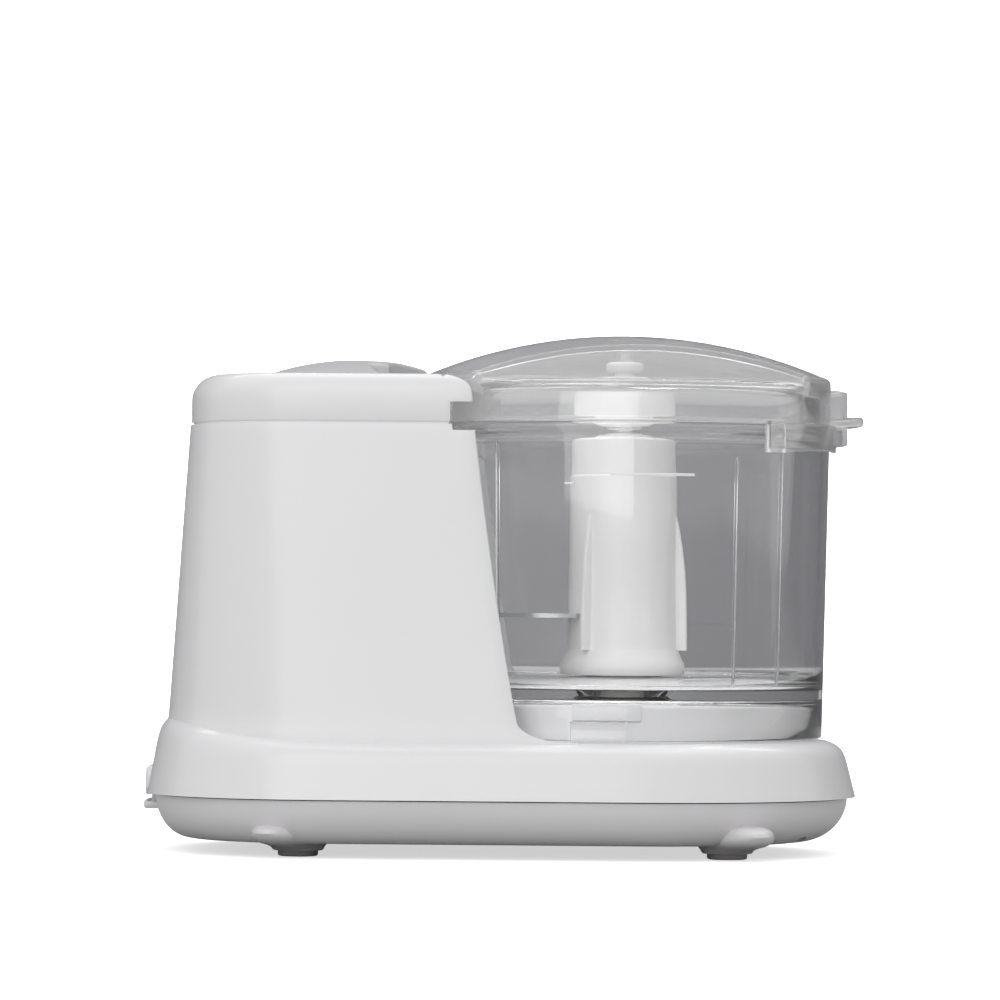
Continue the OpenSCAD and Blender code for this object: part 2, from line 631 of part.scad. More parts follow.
module hub_cap() color("white") at_bowl(134.3) cylinder(r = 5.3, h = cap_z - 134.3, $fn = 64);

// A sickle-shaped steel blade that reaches out from the column.
module sickle(i) color("silver") at_bowl(blade_seats[i][1]) rotate([0, 0, blade_seats[i][0]]) {
    linear_extrude(1.2, center = true) intersection() {
        difference() {
            translate([20, -22]) circle(r = 34, $fn = 128);
            translate([14, -31]) circle(r = 33, $fn = 128);
            circle(r = i == 0 ? 17.9 : 15.8, $fn = 96);
        }
        translate([0, -40]) square([80, 80]);
        circle(r = 49.5, $fn = 128);
    }
    translate([13.0, -5.0, -0.6]) cube([8.5, 10, 1.2]);
}

upper_housing();
top_cover();
bottom_tub();
rubber_foot(0, -1);  // foot_front_left
rubber_foot(1, -1);  // foot_front_right
rubber_foot(0, 1);  // foot_rear_left
rubber_foot(1, 1);  // foot_rear_right
housing_screws();
cord_gland();
motor_mount_plate();
plate_screws();
motor_can();
motor_end_bell();
brush_holders();
motor_screws();
armature();
commutator();
magnets();
motor_bushes();
motor_shaft();
motor_fan();
motor_pulley();
drive_belt();
driven_pulley();
spindle();
drive_coupler();
upper_bush();
lower_bush();
bearing_bracket();
bracket_screws();
spindle_seal();
retaining_clip();
pulse_button();
pulse_spring();
switch_holder();
pulse_switch();
switch_plunger();
interlock_switch();
interlock_plunger();
rectifier_board();
holder_screws();
bowl();
lid();
lid_pin();
blade_hub();
hub_cap();
sickle(0);  // lower_blade
sickle(1);  // upper_blade
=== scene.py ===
# %% [markdown]
# # A small electric chopper, built around its CAD frame
# The CAD model says where every piece is and how it moves. This script gives the pieces their looks.
# It first loads the frame and reads a few places from it, so that each new surface lands where the
# working part is. Shapes are worked out in millimetres, because that is how a maker thinks of them,
# and become metres in one place only, where a mesh is made.

# %% Load the frame and read the places that the shapes hang on
import json
import math

import bmesh
import bpy
import numpy as np
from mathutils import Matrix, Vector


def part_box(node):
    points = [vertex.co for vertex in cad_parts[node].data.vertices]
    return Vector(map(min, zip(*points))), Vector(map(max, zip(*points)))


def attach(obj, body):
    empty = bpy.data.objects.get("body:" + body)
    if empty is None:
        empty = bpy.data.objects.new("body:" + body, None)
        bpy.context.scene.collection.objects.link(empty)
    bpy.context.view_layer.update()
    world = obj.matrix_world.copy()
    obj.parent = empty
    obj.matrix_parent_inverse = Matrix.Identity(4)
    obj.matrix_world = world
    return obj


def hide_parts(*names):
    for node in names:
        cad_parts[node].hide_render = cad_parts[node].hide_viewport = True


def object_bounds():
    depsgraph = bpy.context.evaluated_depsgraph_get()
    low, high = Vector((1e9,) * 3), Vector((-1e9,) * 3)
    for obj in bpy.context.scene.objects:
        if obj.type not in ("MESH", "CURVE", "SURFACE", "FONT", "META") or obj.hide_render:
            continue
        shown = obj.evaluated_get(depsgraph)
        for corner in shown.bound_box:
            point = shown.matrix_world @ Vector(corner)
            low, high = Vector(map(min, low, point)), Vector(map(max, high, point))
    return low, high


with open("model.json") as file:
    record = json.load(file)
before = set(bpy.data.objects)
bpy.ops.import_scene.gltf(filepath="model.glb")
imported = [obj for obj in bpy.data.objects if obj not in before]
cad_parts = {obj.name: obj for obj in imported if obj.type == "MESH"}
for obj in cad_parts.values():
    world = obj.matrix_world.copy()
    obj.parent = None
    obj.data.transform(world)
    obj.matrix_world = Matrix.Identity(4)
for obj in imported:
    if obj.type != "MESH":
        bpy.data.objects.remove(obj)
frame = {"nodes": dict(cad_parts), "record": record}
nodes = frame["nodes"]
cad_box = [list(corner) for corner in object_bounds()]
MM = 0.001


def box_mm(node):
    """Lowest and highest corner of a CAD node, in millimetres."""
    low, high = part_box(node)
    return np.array(low) / MM, np.array(high) / MM


bowl_low, bowl_high = box_mm("bowl")
BOWL_X = (bowl_low[0] + bowl_high[0]) / 2
BOWL_R = (bowl_high[0] - bowl_low[0]) / 2
house_low, house_high = box_mm("upper_housing")
SEAM_Z = house_low[2]
COVER_SEAM_Z = house_high[2]
RIGHT = house_high[0]
HALF = house_high[1]
LEFT = -98.5     # left end of the base at the seam, without the cord outlet
DECK_Z = 31.8    # the deck that the bowl stands on
COVER_TOP_Z = box_mm("top_cover")[1][2]
TIP = cad_box[0][0] / MM
print("bowl axis at", round(BOWL_X, 2), "mm, radius", round(BOWL_R, 2), "mm")

# %% [markdown]
# ## Camera and studio
# A product like this is looked at from the front, level with its middle, through a long lens. The lens
# is shifted up instead of tilting the camera, which keeps the sides of the tower straight, and the camera
# is rolled by half a degree. A white sweep of floor and three large soft lamps give the broad, gentle
# highlights that show a satin moulding for what it is. A fourth lamp lights the wall far behind.

# %% Camera
CAMERA_DISTANCE = 1.400
camera = bpy.data.objects.new("camera", bpy.data.cameras.new("camera"))
bpy.context.scene.collection.objects.link(camera)
camera.location = (-0.0013, -CAMERA_DISTANCE, 0.0674)
camera.rotation_euler = (math.radians(90), math.radians(-0.48), 0)
camera.data.lens = 180
camera.data.sensor_width = 36
camera.data.shift_y = 0.110
camera.data.clip_end = 20
bpy.context.scene.camera = camera
print("camera", CAMERA_DISTANCE, "m in front")

# %% Floor, world and lamps


def floor_material(name, near, far):
    """White where it is looked at. To every other ray it is a studio table: pale near the object and
    grey far behind it, so undersides stay light and clear walls show a quiet grey."""
    material = bpy.data.materials.new(name)
    material.use_nodes = True
    tree = material.node_tree
    link = tree.links.new
    shader = tree.nodes["Principled BSDF"]
    shader.inputs["Roughness"].default_value = 0.75
    shader.inputs["Specular IOR Level"].default_value = 0.1
    place = tree.nodes.new("ShaderNodeTexCoord")
    parts = tree.nodes.new("ShaderNodeSeparateXYZ")
    link(place.outputs["Object"], parts.inputs[0])
    away = tree.nodes.new("ShaderNodeMapRange")
    away.inputs["From Min"].default_value = 0.3
    away.inputs["From Max"].default_value = 1.3
    link(parts.outputs["Y"], away.inputs["Value"])
    table = tree.nodes.new("ShaderNodeMix")
    table.data_type = "RGBA"
    table.inputs[6].default_value = (*near, 1)
    table.inputs[7].default_value = (*far, 1)
    link(away.outputs["Result"], table.inputs[0])
    ray = tree.nodes.new("ShaderNodeLightPath")
    seen = tree.nodes.new("ShaderNodeMix")
    seen.data_type = "RGBA"
    seen.inputs[7].default_value = (0.96, 0.96, 0.96, 1)
    link(ray.outputs["Is Camera Ray"], seen.inputs[0])
    link(table.outputs[2], seen.inputs[6])
    link(seen.outputs[2], shader.inputs["Base Color"])
    glow = tree.nodes.new("ShaderNodeMath")
    glow.operation = "MULTIPLY"
    glow.inputs[1].default_value = 0.6
    link(ray.outputs["Is Camera Ray"], glow.inputs[0])
    shader.inputs["Emission Color"].default_value = (1, 1, 1, 1)
    link(glow.outputs[0], shader.inputs["Emission Strength"])
    return material


def sweep_floor(half_width, front, back, height, bend):
    """A floor that curves up into a wall: a path of points in Y and Z carried along X."""
    turn = np.linspace(0, np.pi / 2, 25)
    path_y = np.concatenate([[front], back - bend + bend * np.sin(turn), [back]])
    path_z = np.concatenate([[0], bend - bend * np.cos(turn), [height]])
    n = len(path_y)
    points = np.zeros((2, n, 3))
    points[0, :, 0], points[1, :, 0] = -half_width, half_width
    points[:, :, 1], points[:, :, 2] = path_y, path_z
    faces = [(i, n + i, n + i + 1, i + 1) for i in range(n - 1)]
    mesh = bpy.data.meshes.new("floor")
    mesh.from_pydata(points.reshape(-1, 3).tolist(), [], faces)
    mesh.shade_smooth()
    floor = bpy.data.objects.new("floor", mesh)
    bpy.context.scene.collection.objects.link(floor)
    return floor


floor = sweep_floor(6.0, -4.0, 2.6, 5.0, 1.2)
floor.data.materials.append(floor_material("pale_floor", (0.42, 0.42, 0.42), (0.100, 0.100, 0.106)))

world = bpy.data.worlds.new("studio")
bpy.context.scene.world = world
world.use_nodes = True
world.node_tree.nodes["Background"].inputs["Color"].default_value = (1.0, 1.0, 1.0, 1)
world.node_tree.nodes["Background"].inputs["Strength"].default_value = 0.76
bpy.context.scene.view_settings.view_transform = "Standard"


def area_lamp(name, place, aim, width, height, watts):
    """A soft box at a place, turned to look at a point."""
    data = bpy.data.lights.new(name, "AREA")
    data.shape = "RECTANGLE"
    data.size, data.size_y, data.energy = width, height, watts
    lamp = bpy.data.objects.new(name, data)
    bpy.context.scene.collection.objects.link(lamp)
    lamp.location = place
    towards = np.array(aim) - np.array(place)
    yaw = math.atan2(towards[0], -towards[1])
    pitch = math.atan2(math.hypot(towards[0], towards[1]), -towards[2])
    lamp.rotation_euler = (pitch, 0, math.pi - yaw)
    return lamp


area_lamp("key", (-0.50, -1.15, 0.50), (0, 0, 0.06), 1.2, 0.9, 5.4)
area_lamp("side", (-1.1, -0.2, 0.5), (0, 0, 0.07), 0.8, 0.8, 6.4)
area_lamp("top", (0.0, 0.15, 1.1), (0, 0, 0.05), 0.9, 0.7, 2.3)
area_lamp("wall_wash", (0.0, 1.0, 1.6), (0, 2.4, 0.4), 2.4, 0.8, 60)
print("studio ready")

# %% [markdown]
# ## Surfaces from numbers
# Every new piece is a grid of points worked out at once with numpy. A **loft** is a stack of rings with
# equal numbers of points. If the last ring joins the first again, it is a wall with thickness, and needs
# no caps. A **lathe** is the same thing with circles for rings. Two solids are joined or cut with a
# Boolean modifier that is applied at once, and a small Bevel gives the moulded edge that catches light.

# %% Helpers that turn grids into closed solids


def solid(name, points, loop=False, sharp=35):
    """A closed object from a grid of rings (ring, point, xyz) in millimetres.
    The rings close on themselves. With loop the last ring joins the first, else both ends are capped."""
    rings, n = points.shape[:2]
    index = np.arange(rings * n).reshape(rings, n)
    low = index if loop else index[:-1]
    high = np.roll(index, -1, 0) if loop else index[1:]
    quads = np.stack([low, np.roll(low, -1, 1), np.roll(high, -1, 1), high], -1).reshape(-1, 4)
    faces = quads.tolist()
    if not loop:
        faces += [index[0, ::-1].tolist(), index[-1].tolist()]
    mesh = bpy.data.meshes.new(name)
    mesh.from_pydata((points.reshape(-1, 3) * MM).tolist(), [], faces)
    piece = bpy.data.objects.new(name, mesh)
    bpy.context.scene.collection.objects.link(piece)
    return tidy_mesh(piece, sharp)


def tidy_mesh(piece, sharp=35):
    """Merges doubled points, turns every face outwards and shades smooth except at sharp corners."""
    work = bmesh.new()
    work.from_mesh(piece.data)
    bmesh.ops.remove_doubles(work, verts=work.verts, dist=2e-6)
    bmesh.ops.dissolve_degenerate(work, edges=work.edges, dist=1e-7)
    bmesh.ops.recalc_face_normals(work, faces=work.faces)
    if work.calc_volume(signed=True) < 0:
        bmesh.ops.reverse_faces(work, faces=work.faces)
    work.to_mesh(piece.data)
    work.free()
    piece.data.shade_smooth()
    piece.data.set_sharp_from_angle(angle=math.radians(sharp))
    return piece


def bake(piece):
    """Applies the modifiers of a piece to its mesh."""
    graph = bpy.context.evaluated_depsgraph_get()
    mesh = bpy.data.meshes.new_from_object(piece.evaluated_get(graph))
    old = piece.data
    piece.modifiers.clear()
    piece.data = mesh
    bpy.data.meshes.remove(old)
    return piece


def combine(piece, tools, how, sharp=35):
    """Joins (UNION) or cuts (DIFFERENCE) a solid with each tool, and deletes the tools."""
    for tool in tools:
        change = piece.modifiers.new("change", "BOOLEAN")
        change.operation = how
        change.solver = "EXACT"
        change.object = tool
        bake(piece)
        bpy.data.objects.remove(tool)
    return tidy_mesh(piece, sharp)


def merge(name, pieces, sharp=35):
    """One object that holds the meshes of several, each of them still a closed solid."""
    work = bmesh.new()
    for piece in pieces:
        work.from_mesh(piece.data)
        bpy.data.objects.remove(piece)
    mesh = bpy.data.meshes.new(name)
    work.to_mesh(mesh)
    work.free()
    whole = bpy.data.objects.new(name, mesh)
    bpy.context.scene.collection.objects.link(whole)
    mesh.shade_smooth()
    mesh.set_sharp_from_angle(angle=math.radians(sharp))
    return whole


def soften(piece, width):
    """Rounds the sharp edges by a width in millimetres."""
    edge = piece.modifiers.new("soften", "BEVEL")
    edge.width = width * MM
    edge.segments = 3
    edge.limit_method = "ANGLE"
    edge.angle_limit = math.radians(32)
    bake(piece)
    piece.data.shade_smooth()
    piece.data.set_sharp_from_angle(angle=math.radians(50))
    return piece


def revolve(profile, centre_x=0.0, centre_y=0.0, steps=160):
    """Rings of a lathe: each profile point (radius, height) becomes a circle about an upright axis."""
    profile = np.asarray(profile, float)
    turn = np.linspace(0, 2 * np.pi, steps, endpoint=False)
    x = centre_x + profile[:, :1] * np.cos(turn)
    y = centre_y + profile[:, :1] * np.sin(turn)
    return np.stack([x, y, np.broadcast_to(profile[:, 1:], x.shape)], -1)


def rounded(corners, radius, steps=5):
    """A closed outline through corners (x, y), each cut back by radius and rounded by a curve:
    the curve is start*(1-t)^2 + corner*2t(1-t) + end*t^2."""
    pts = np.array(corners, float)
    before = np.roll(pts, 1, 0) - pts
    after = np.roll(pts, -1, 0) - pts
    len_b = np.linalg.norm(before, axis=1)
    len_a = np.linalg.norm(after, axis=1)
    cut = np.minimum(radius, 0.48 * np.minimum(len_b, len_a))[:, None]
    start = pts + before / len_b[:, None] * cut
    end = pts + after / len_a[:, None] * cut
    t = np.linspace(0, 1, steps)[None, :, None]
    curve = start[:, None] * (1 - t) ** 2 + pts[:, None] * 2 * t * (1 - t) + end[:, None] * t ** 2
    return curve.reshape(-1, 2)


def bent_bar(section, start, end, centre_x, step=2.0):
    """Rings of a bar bent round an upright axis: its section (radius, height) at each angle in degrees."""
    section = np.asarray(section, float)
    turn = np.radians(np.linspace(start, end, max(3, int(abs(end - start) / step) + 1)))[:, None]
    x = centre_x + section[:, 0] * np.cos(turn)
    y = section[:, 0] * np.sin(turn)
    return np.stack([x, y, np.broadcast_to(section[:, 1], x.shape)], -1)


def arc(centre, radius, start, end, steps):
    """Points on a circle from one angle to another, in degrees."""
    turn = np.radians(np.linspace(start, end, steps))
    return np.stack([centre[0] + radius * np.cos(turn), centre[1] + radius * np.sin(turn)], -1)


def line(a, b, steps):
    """Evenly spaced points from a to b, without either end."""
    t = np.linspace(0, 1, steps + 2)[1:-1, None]
    return np.array(a) * (1 - t) + np.array(b) * t


def turned(points, angle):
    """Points drawn about the origin, turned by an angle in degrees and moved to the bowl's axis."""
    turn = math.radians(angle)
    x, y, z = points[..., 0], points[..., 1], points[..., 2]
    return np.stack([BOWL_X + x * math.cos(turn) - y * math.sin(turn),
                     x * math.sin(turn) + y * math.cos(turn), z], -1)


print("helpers ready")

# %% [markdown]
# ## Materials
# Almost everything that shows is injection moulded. The white shells are satin with a faint texture from
# the mould, a slow drift in colour, and slightly rougher patches where hands touch them. The clear bowl
# and lid are polished, with a trace of flow lines and fine scratches in their gloss. Metal parts are
# drawn, ground or plated, so their grain has a direction. Each finish has one builder with a few knobs.

# %% Material builder


def finish(name, colour, rough, rough_spread=0.03, grain=900.0, bump=0.02, drift=0.03, metal=0.0,
           stretch=(1, 1, 1), coat=0.0, clear=0.0, ior=1.49, deep=0.0):
    """A node material: colour drifts with slow noise, gloss with finer noise, and a grain makes the bump.
    stretch pulls the grain out along an axis for brushed or drawn metal."""
    material = bpy.data.materials.new(name)
    material.use_nodes = True
    tree = material.node_tree
    link = tree.links.new
    shader = tree.nodes["Principled BSDF"]
    shader.inputs["Metallic"].default_value = metal
    shader.inputs["IOR"].default_value = ior
    shader.inputs["Coat Weight"].default_value = coat
    shader.inputs["Coat Roughness"].default_value = 0.12
    shader.inputs["Transmission Weight"].default_value = clear
    shader.inputs["Subsurface Weight"].default_value = deep
    shader.inputs["Subsurface Radius"].default_value = (0.004, 0.004, 0.004)
    place = tree.nodes.new("ShaderNodeTexCoord")
    pull = tree.nodes.new("ShaderNodeMapping")
    pull.inputs["Scale"].default_value = stretch
    link(place.outputs["Object"], pull.inputs["Vector"])

    def noise(scale, detail, source):
        texture = tree.nodes.new("ShaderNodeTexNoise")
        texture.inputs["Scale"].default_value = scale
        texture.inputs["Detail"].default_value = detail
        link(source, texture.inputs["Vector"])
        return texture.outputs["Fac"]

    def spread(source, low, high):
        span = tree.nodes.new("ShaderNodeMapRange")
        span.inputs["From Min"].default_value = 0.2
        span.inputs["From Max"].default_value = 0.8
        span.inputs["To Min"].default_value = low
        span.inputs["To Max"].default_value = high
        link(source, span.inputs["Value"])
        return span.outputs["Result"]

    slow = noise(14.0, 1.0, place.outputs["Object"])
    mix = tree.nodes.new("ShaderNodeMix")
    mix.data_type = "RGBA"
    mix.inputs[6].default_value = (*[c * (1 - drift) for c in colour], 1)
    mix.inputs[7].default_value = (*colour, 1)
    link(spread(slow, 0, 1), mix.inputs[0])
    link(mix.outputs[2], shader.inputs["Base Color"])
    worn = noise(45.0, 1.0, place.outputs["Object"])
    link(spread(worn, max(0.0, rough - rough_spread), rough + rough_spread), shader.inputs["Roughness"])
    fine = noise(grain, 2.0, pull.outputs["Vector"])
    relief = tree.nodes.new("ShaderNodeBump")
    relief.inputs["Strength"].default_value = bump
    relief.inputs["Distance"].default_value = 0.0002
    link(fine, relief.inputs["Height"])
    link(relief.outputs["Normal"], shader.inputs["Normal"])
    if clear:
        let_light_in(tree, shader)
    return material


def let_light_in(tree, shader):
    """Rays on their way to a lamp pass a clear wall unbent, so what stands inside it is lit."""
    ray = tree.nodes.new("ShaderNodeLightPath")
    bare = tree.nodes.new("ShaderNodeBsdfTransparent")
    bare.inputs["Color"].default_value = (1, 1, 1, 1)
    mix = tree.nodes.new("ShaderNodeMixShader")
    tree.links.new(ray.outputs["Is Shadow Ray"], mix.inputs[0])
    tree.links.new(shader.outputs[0], mix.inputs[1])
    tree.links.new(bare.outputs[0], mix.inputs[2])
    tree.links.new(mix.outputs[0], tree.nodes["Material Output"].inputs["Surface"])


print("material builder ready")

# %% [markdown]
# ## The finishes of this object
# There is one finish for each material slot of the record, with the same name. The housing, the tub and
# the button are three whites, each a little darker than the one before. The tub's darker white is partly
# painted shade for its underside, and the column's brighter white is partly painted light that makes up
# for the light that the clear bowl holds back. The CAD's own pieces get theirs here, and the new pieces
# when they are made. The lid's plastic is a little cloudier than the bowl's.

# %% The finishes
LOOKS = {
    "white_shell": dict(colour=(0.80, 0.80, 0.81), rough=0.24, grain=1400, bump=0.03, coat=0.15,
                        drift=0.02),
    # the tub's white is darker than the housing's: partly painted shade for its underside, which faces the table
    "white_tub": dict(colour=(0.71, 0.70, 0.71), rough=0.30, grain=1400, bump=0.04, coat=0.1,
                      drift=0.02),
    "button_plastic": dict(colour=(0.62, 0.62, 0.63), rough=0.30, grain=1100, bump=0.05, drift=0.02),
    "foot_rubber": dict(colour=(0.33, 0.31, 0.32), rough=0.72, grain=2200, bump=0.35, drift=0.12),
    "screw_steel": dict(colour=(0.55, 0.56, 0.58), rough=0.32, grain=900, bump=0.15, metal=1.0),
    "plated_steel": dict(colour=(0.60, 0.61, 0.62), rough=0.34, grain=500, bump=0.1, metal=1.0,
                         stretch=(1, 1, 12)),
    "dark_nylon": dict(colour=(0.035, 0.035, 0.04), rough=0.5, grain=900, bump=0.12, drift=0.1),
    "brass": dict(colour=(0.70, 0.52, 0.24), rough=0.33, metal=1.0, bump=0.1),
    "lamination_steel": dict(colour=(0.25, 0.25, 0.27), rough=0.42, metal=0.9, grain=60, bump=0.5,
                             stretch=(1, 1, 40)),
    "copper": dict(colour=(0.78, 0.42, 0.28), rough=0.3, metal=1.0, bump=0.1),
    "ferrite": dict(colour=(0.06, 0.06, 0.065), rough=0.55, bump=0.2, drift=0.15),
    "bronze": dict(colour=(0.48, 0.34, 0.18), rough=0.45, metal=1.0, bump=0.25, grain=2600),
    "shaft_steel": dict(colour=(0.66, 0.66, 0.68), rough=0.2, metal=1.0, grain=400, bump=0.06,
                        stretch=(1, 1, 30)),
    "belt_rubber": dict(colour=(0.022, 0.022, 0.023), rough=0.65, bump=0.3, grain=1600, drift=0.15),
    "natural_nylon": dict(colour=(0.78, 0.77, 0.72), rough=0.42, bump=0.06, deep=0.1),
    "seal_rubber": dict(colour=(0.28, 0.28, 0.29), rough=0.6, bump=0.2, drift=0.12),
    "spring_steel": dict(colour=(0.55, 0.55, 0.57), rough=0.28, metal=1.0, bump=0.08),
    "switch_black": dict(colour=(0.03, 0.03, 0.032), rough=0.45, bump=0.1, drift=0.1),
    "switch_red": dict(colour=(0.5, 0.03, 0.025), rough=0.35, bump=0.06),
    "board_green": dict(colour=(0.03, 0.18, 0.08), rough=0.4, bump=0.15, grain=700, drift=0.15),
    # the column's white is brighter than the housing's: partly painted light that makes up for the light the
    # clear bowl holds back
    "hub_white": dict(colour=(0.965, 0.96, 0.955), rough=0.32, bump=0.04, deep=0.08, drift=0.02),
    "blade_steel": dict(colour=(0.66, 0.67, 0.68), rough=0.22, metal=1.0, grain=260, bump=0.12,
                        stretch=(14, 1, 1)),
    "clear_plastic": dict(colour=(0.995, 0.996, 0.998), rough=0.03, rough_spread=0.015, grain=160,
                          bump=0.03, drift=0.01, clear=0.985, ior=1.5),
}
FINISHES = {name: finish(name, **look) for name, look in LOOKS.items()}
CLEAR_LID = finish("clear_lid", (0.99, 0.99, 0.992), 0.05, rough_spread=0.02, grain=160, bump=0.03,
                   drift=0.01, clear=0.86, ior=1.5)
CLEAR_MARK = finish("clear_mark", (0.95, 0.95, 0.96), 0.35, rough_spread=0.05, grain=700, bump=0.1,
                    drift=0.01, clear=0.25, ior=1.5)


def wear(piece, slot, look=None):
    """Gives a piece one finish: the look if one is given, else the finish of the record's slot."""
    piece.data.materials.clear()
    piece.data.materials.append(look or FINISHES[slot])
    faces = piece.data.polygons
    faces.foreach_set("material_index", np.zeros(len(faces), np.int32))


for part in frame["record"]["subparts"]:
    node = nodes[part["node"]]
    node.data.materials.clear()
    node.data.materials.append(FINISHES[part["material_slot"]])
    node.data.shade_smooth()
    node.data.set_sharp_from_angle(angle=math.radians(30))
print(len(FINISHES), "finishes")

# %% [markdown]
# ## Base shoulder
# The lower body is a long oval that leans in towards the deck. Its top edge is level round the bowl and
# climbs at the far left end, where it meets the tower. So the ring height is not one number: it is a
# function of X. The wall leans in evenly and turns in fast at the very top, which the sum of a straight
# line and a high power gives.

# %% Plan outlines


def oval_plan(inset):
    """The base's outline drawn in by inset: straight sides and four round corners."""
    steps = 26
    left, right, half = LEFT + inset, RIGHT - inset, HALF - inset
    small, large = 50 - inset, 62 - inset
    return np.concatenate([
        arc((right - large, half - large), large, 0, 90, steps),
        line((right - large, half), (left + small, half), 14),
        arc((left + small, half - small), small, 90, 180, steps),
        line((left, half - small), (left, small - half), 5),
        arc((left + small, small - half), small, 180, 270, steps),
        line((left + small, -half), (right - large, -half), 14),
        arc((right - large, large - half), large, 270, 360, steps)])


def tower_plan(left, half, corner, hollow, horn=0.5):
    """The tower's outline: a hollow arc round the bowl's axis, two rounded horns and two round corners.
    A horn's centre is one horn radius in from the flat side and one out from the hollow arc."""
    y = half - horn
    x = BOWL_X - math.sqrt((hollow + horn) ** 2 - y ** 2)
    lean = math.degrees(math.atan2(y, BOWL_X - x))
    return np.concatenate([
        arc((BOWL_X, 0), hollow, 180 - lean, 180 + lean, 72),
        arc((x, -y), horn, lean, -90, 9)[1:],
        line((x, -half), (left + corner, -half), 12),
        arc((left + corner, corner - half), corner, 270, 180, 26),
        line((left, corner - half), (left, half - corner), 8),
        arc((left + corner, half - corner), corner, 180, 90, 26),
        line((left + corner, half), (x, half), 12),
        arc((x, y), horn, 90, -lean, 9)[:-1]])


def with_height(outline, height):
    """An outline in the plane at a height, which may be one number or one for each point."""
    return np.column_stack([outline, np.broadcast_to(height, len(outline))])


print("base outline has", len(oval_plan(0)), "points")

# %% Shoulder shell
WALL = 2.4    # thickness of the white shells
LEAN = 7.2    # how far the shoulder leans in
LIP = 0.35    # the deck stands this much above the shoulder's last ring


def shoulder_top(x):
    """Height of the shoulder's upper edge: level, then climbing to the left end."""
    climb = np.clip((-35 - x) / 57, 0, 1)
    return DECK_Z - LIP + 6.4 * climb ** 2.6


def shoulder_ring(v, thickness):
    """One ring of the shoulder at the share v of its height: inset = lean * (0.54 v + 0.46 v^11)."""
    outline = oval_plan(LEAN * (0.54 * v + 0.46 * v ** 11) + thickness)
    top = shoulder_top(outline[:, 0]) - thickness
    return with_height(outline, SEAM_Z + v * (top - SEAM_Z))


def deck_ring(inset, drop):
    """One ring of the deck inside the shoulder's upper edge."""
    outline = oval_plan(inset)
    return with_height(outline, shoulder_top(outline[:, 0]) + LIP - drop)


outer = [shoulder_ring(v, 0) for v in np.sin(np.linspace(0, np.pi / 2, 26))]
edge = [deck_ring(7.8, 0.12), deck_ring(8.8, 0), deck_ring(13.5, 0), deck_ring(13.5, WALL)]
inner = [shoulder_ring(v, WALL) for v in np.linspace(1, 0, 12)]
shoulder = solid("shoulder", np.array(outer + edge + inner), loop=True, sharp=50)
print("shoulder", len(shoulder.data.polygons), "faces")

# %% [markdown]
# ## Tower
# The tower is a drafted box with a hollow side that follows the bowl. Near the deck the hollow side runs
# out in a cove, as a mould needs. Outer and inner rings make one wall of true thickness, and a pocket is
# cut into its upper edge for the lid's tab.

# %% Tower shell
WELL_R = 63.0     # hollow side
COVE = 5.4        # radius of the cove at the deck
RIM_LOW = 113.6   # above this height the wall steps back round the pocket
RIM_R = 69.3
NOTCH_LOW, NOTCH_HIGH, POCKET_R = 116.0, 123.7, 67.7


def tower_size(z):
    """Left end, half depth and corner radius of the tower at a height, read off its draft."""
    heights = [22, 33.3, 37.5, COVER_SEAM_Z]
    return (np.interp(z, heights, [LEFT + 4, LEFT + 4.3, LEFT + 5.6, LEFT + 11.2]),
            np.interp(z, heights, [57.6, 57.0, 56.4, 48.0]),
            np.interp(z, heights, [46, 45, 44, 32]))


def hollow_radius(z):
    """Radius of the hollow side: a quarter circle of cove, then straight up."""
    up = np.clip((z - DECK_Z) / COVE, 0, 1)
    return WELL_R - COVE * (1 - math.sqrt(1 - (1 - up) ** 2))


def tower_ring(z, thickness, hollow=None, horn=0.5):
    """One ring of the tower at a height, drawn in by a wall thickness."""
    left, half, corner = tower_size(z)
    hollow = hollow_radius(z) if hollow is None else hollow
    return with_height(tower_plan(left + thickness, half - thickness, corner - thickness,
                                  hollow + thickness, horn), z)


cove_heights = DECK_Z + COVE * (1 - np.cos(np.linspace(0, np.pi / 2, 10)))
outer_heights = np.concatenate([[29.6], cove_heights, np.linspace(40, COVER_SEAM_Z, 26)])
outer = [tower_ring(z, 0) for z in outer_heights]
inner = [tower_ring(z, WALL, WELL_R if z < RIM_LOW else RIM_R - WALL, 0.6)
         for z in (COVER_SEAM_Z, 116, RIM_LOW, RIM_LOW - 0.01, 90, 60, 40, 34, 31, 29.6)]
tower = solid("tower", np.array(outer + inner), loop=True, sharp=50)


def bent_block(name, r_in, r_out, z_low, z_high, start, end, soft=0.0):
    """A solid block bent round the bowl's axis between two angles."""
    corners = [(r_in, z_low), (r_out, z_low), (r_out, z_high), (r_in, z_high)]
    section = rounded(corners, soft, 4) if soft else np.array(corners)
    return solid(name, bent_bar(section, start, end, BOWL_X))


combine(tower, [bent_block("pocket", WELL_R - 1.2, POCKET_R, NOTCH_LOW, COVER_SEAM_Z + 1, 181, 240)],
        "DIFFERENCE")
soften(tower, 0.25)
print("tower", len(tower.data.polygons), "faces")

# %% [markdown]
# ## Platform and ledges
# The platform is a shallow drum that the bowl drops over. It is one turned profile that runs over the
# outside, the seat of the seal, the bore of the bush and back along the inside. Two ledges stand out from
# it, and the bowl's bayonet lugs turn under them. A crescent of deck closes the gap below the tower.

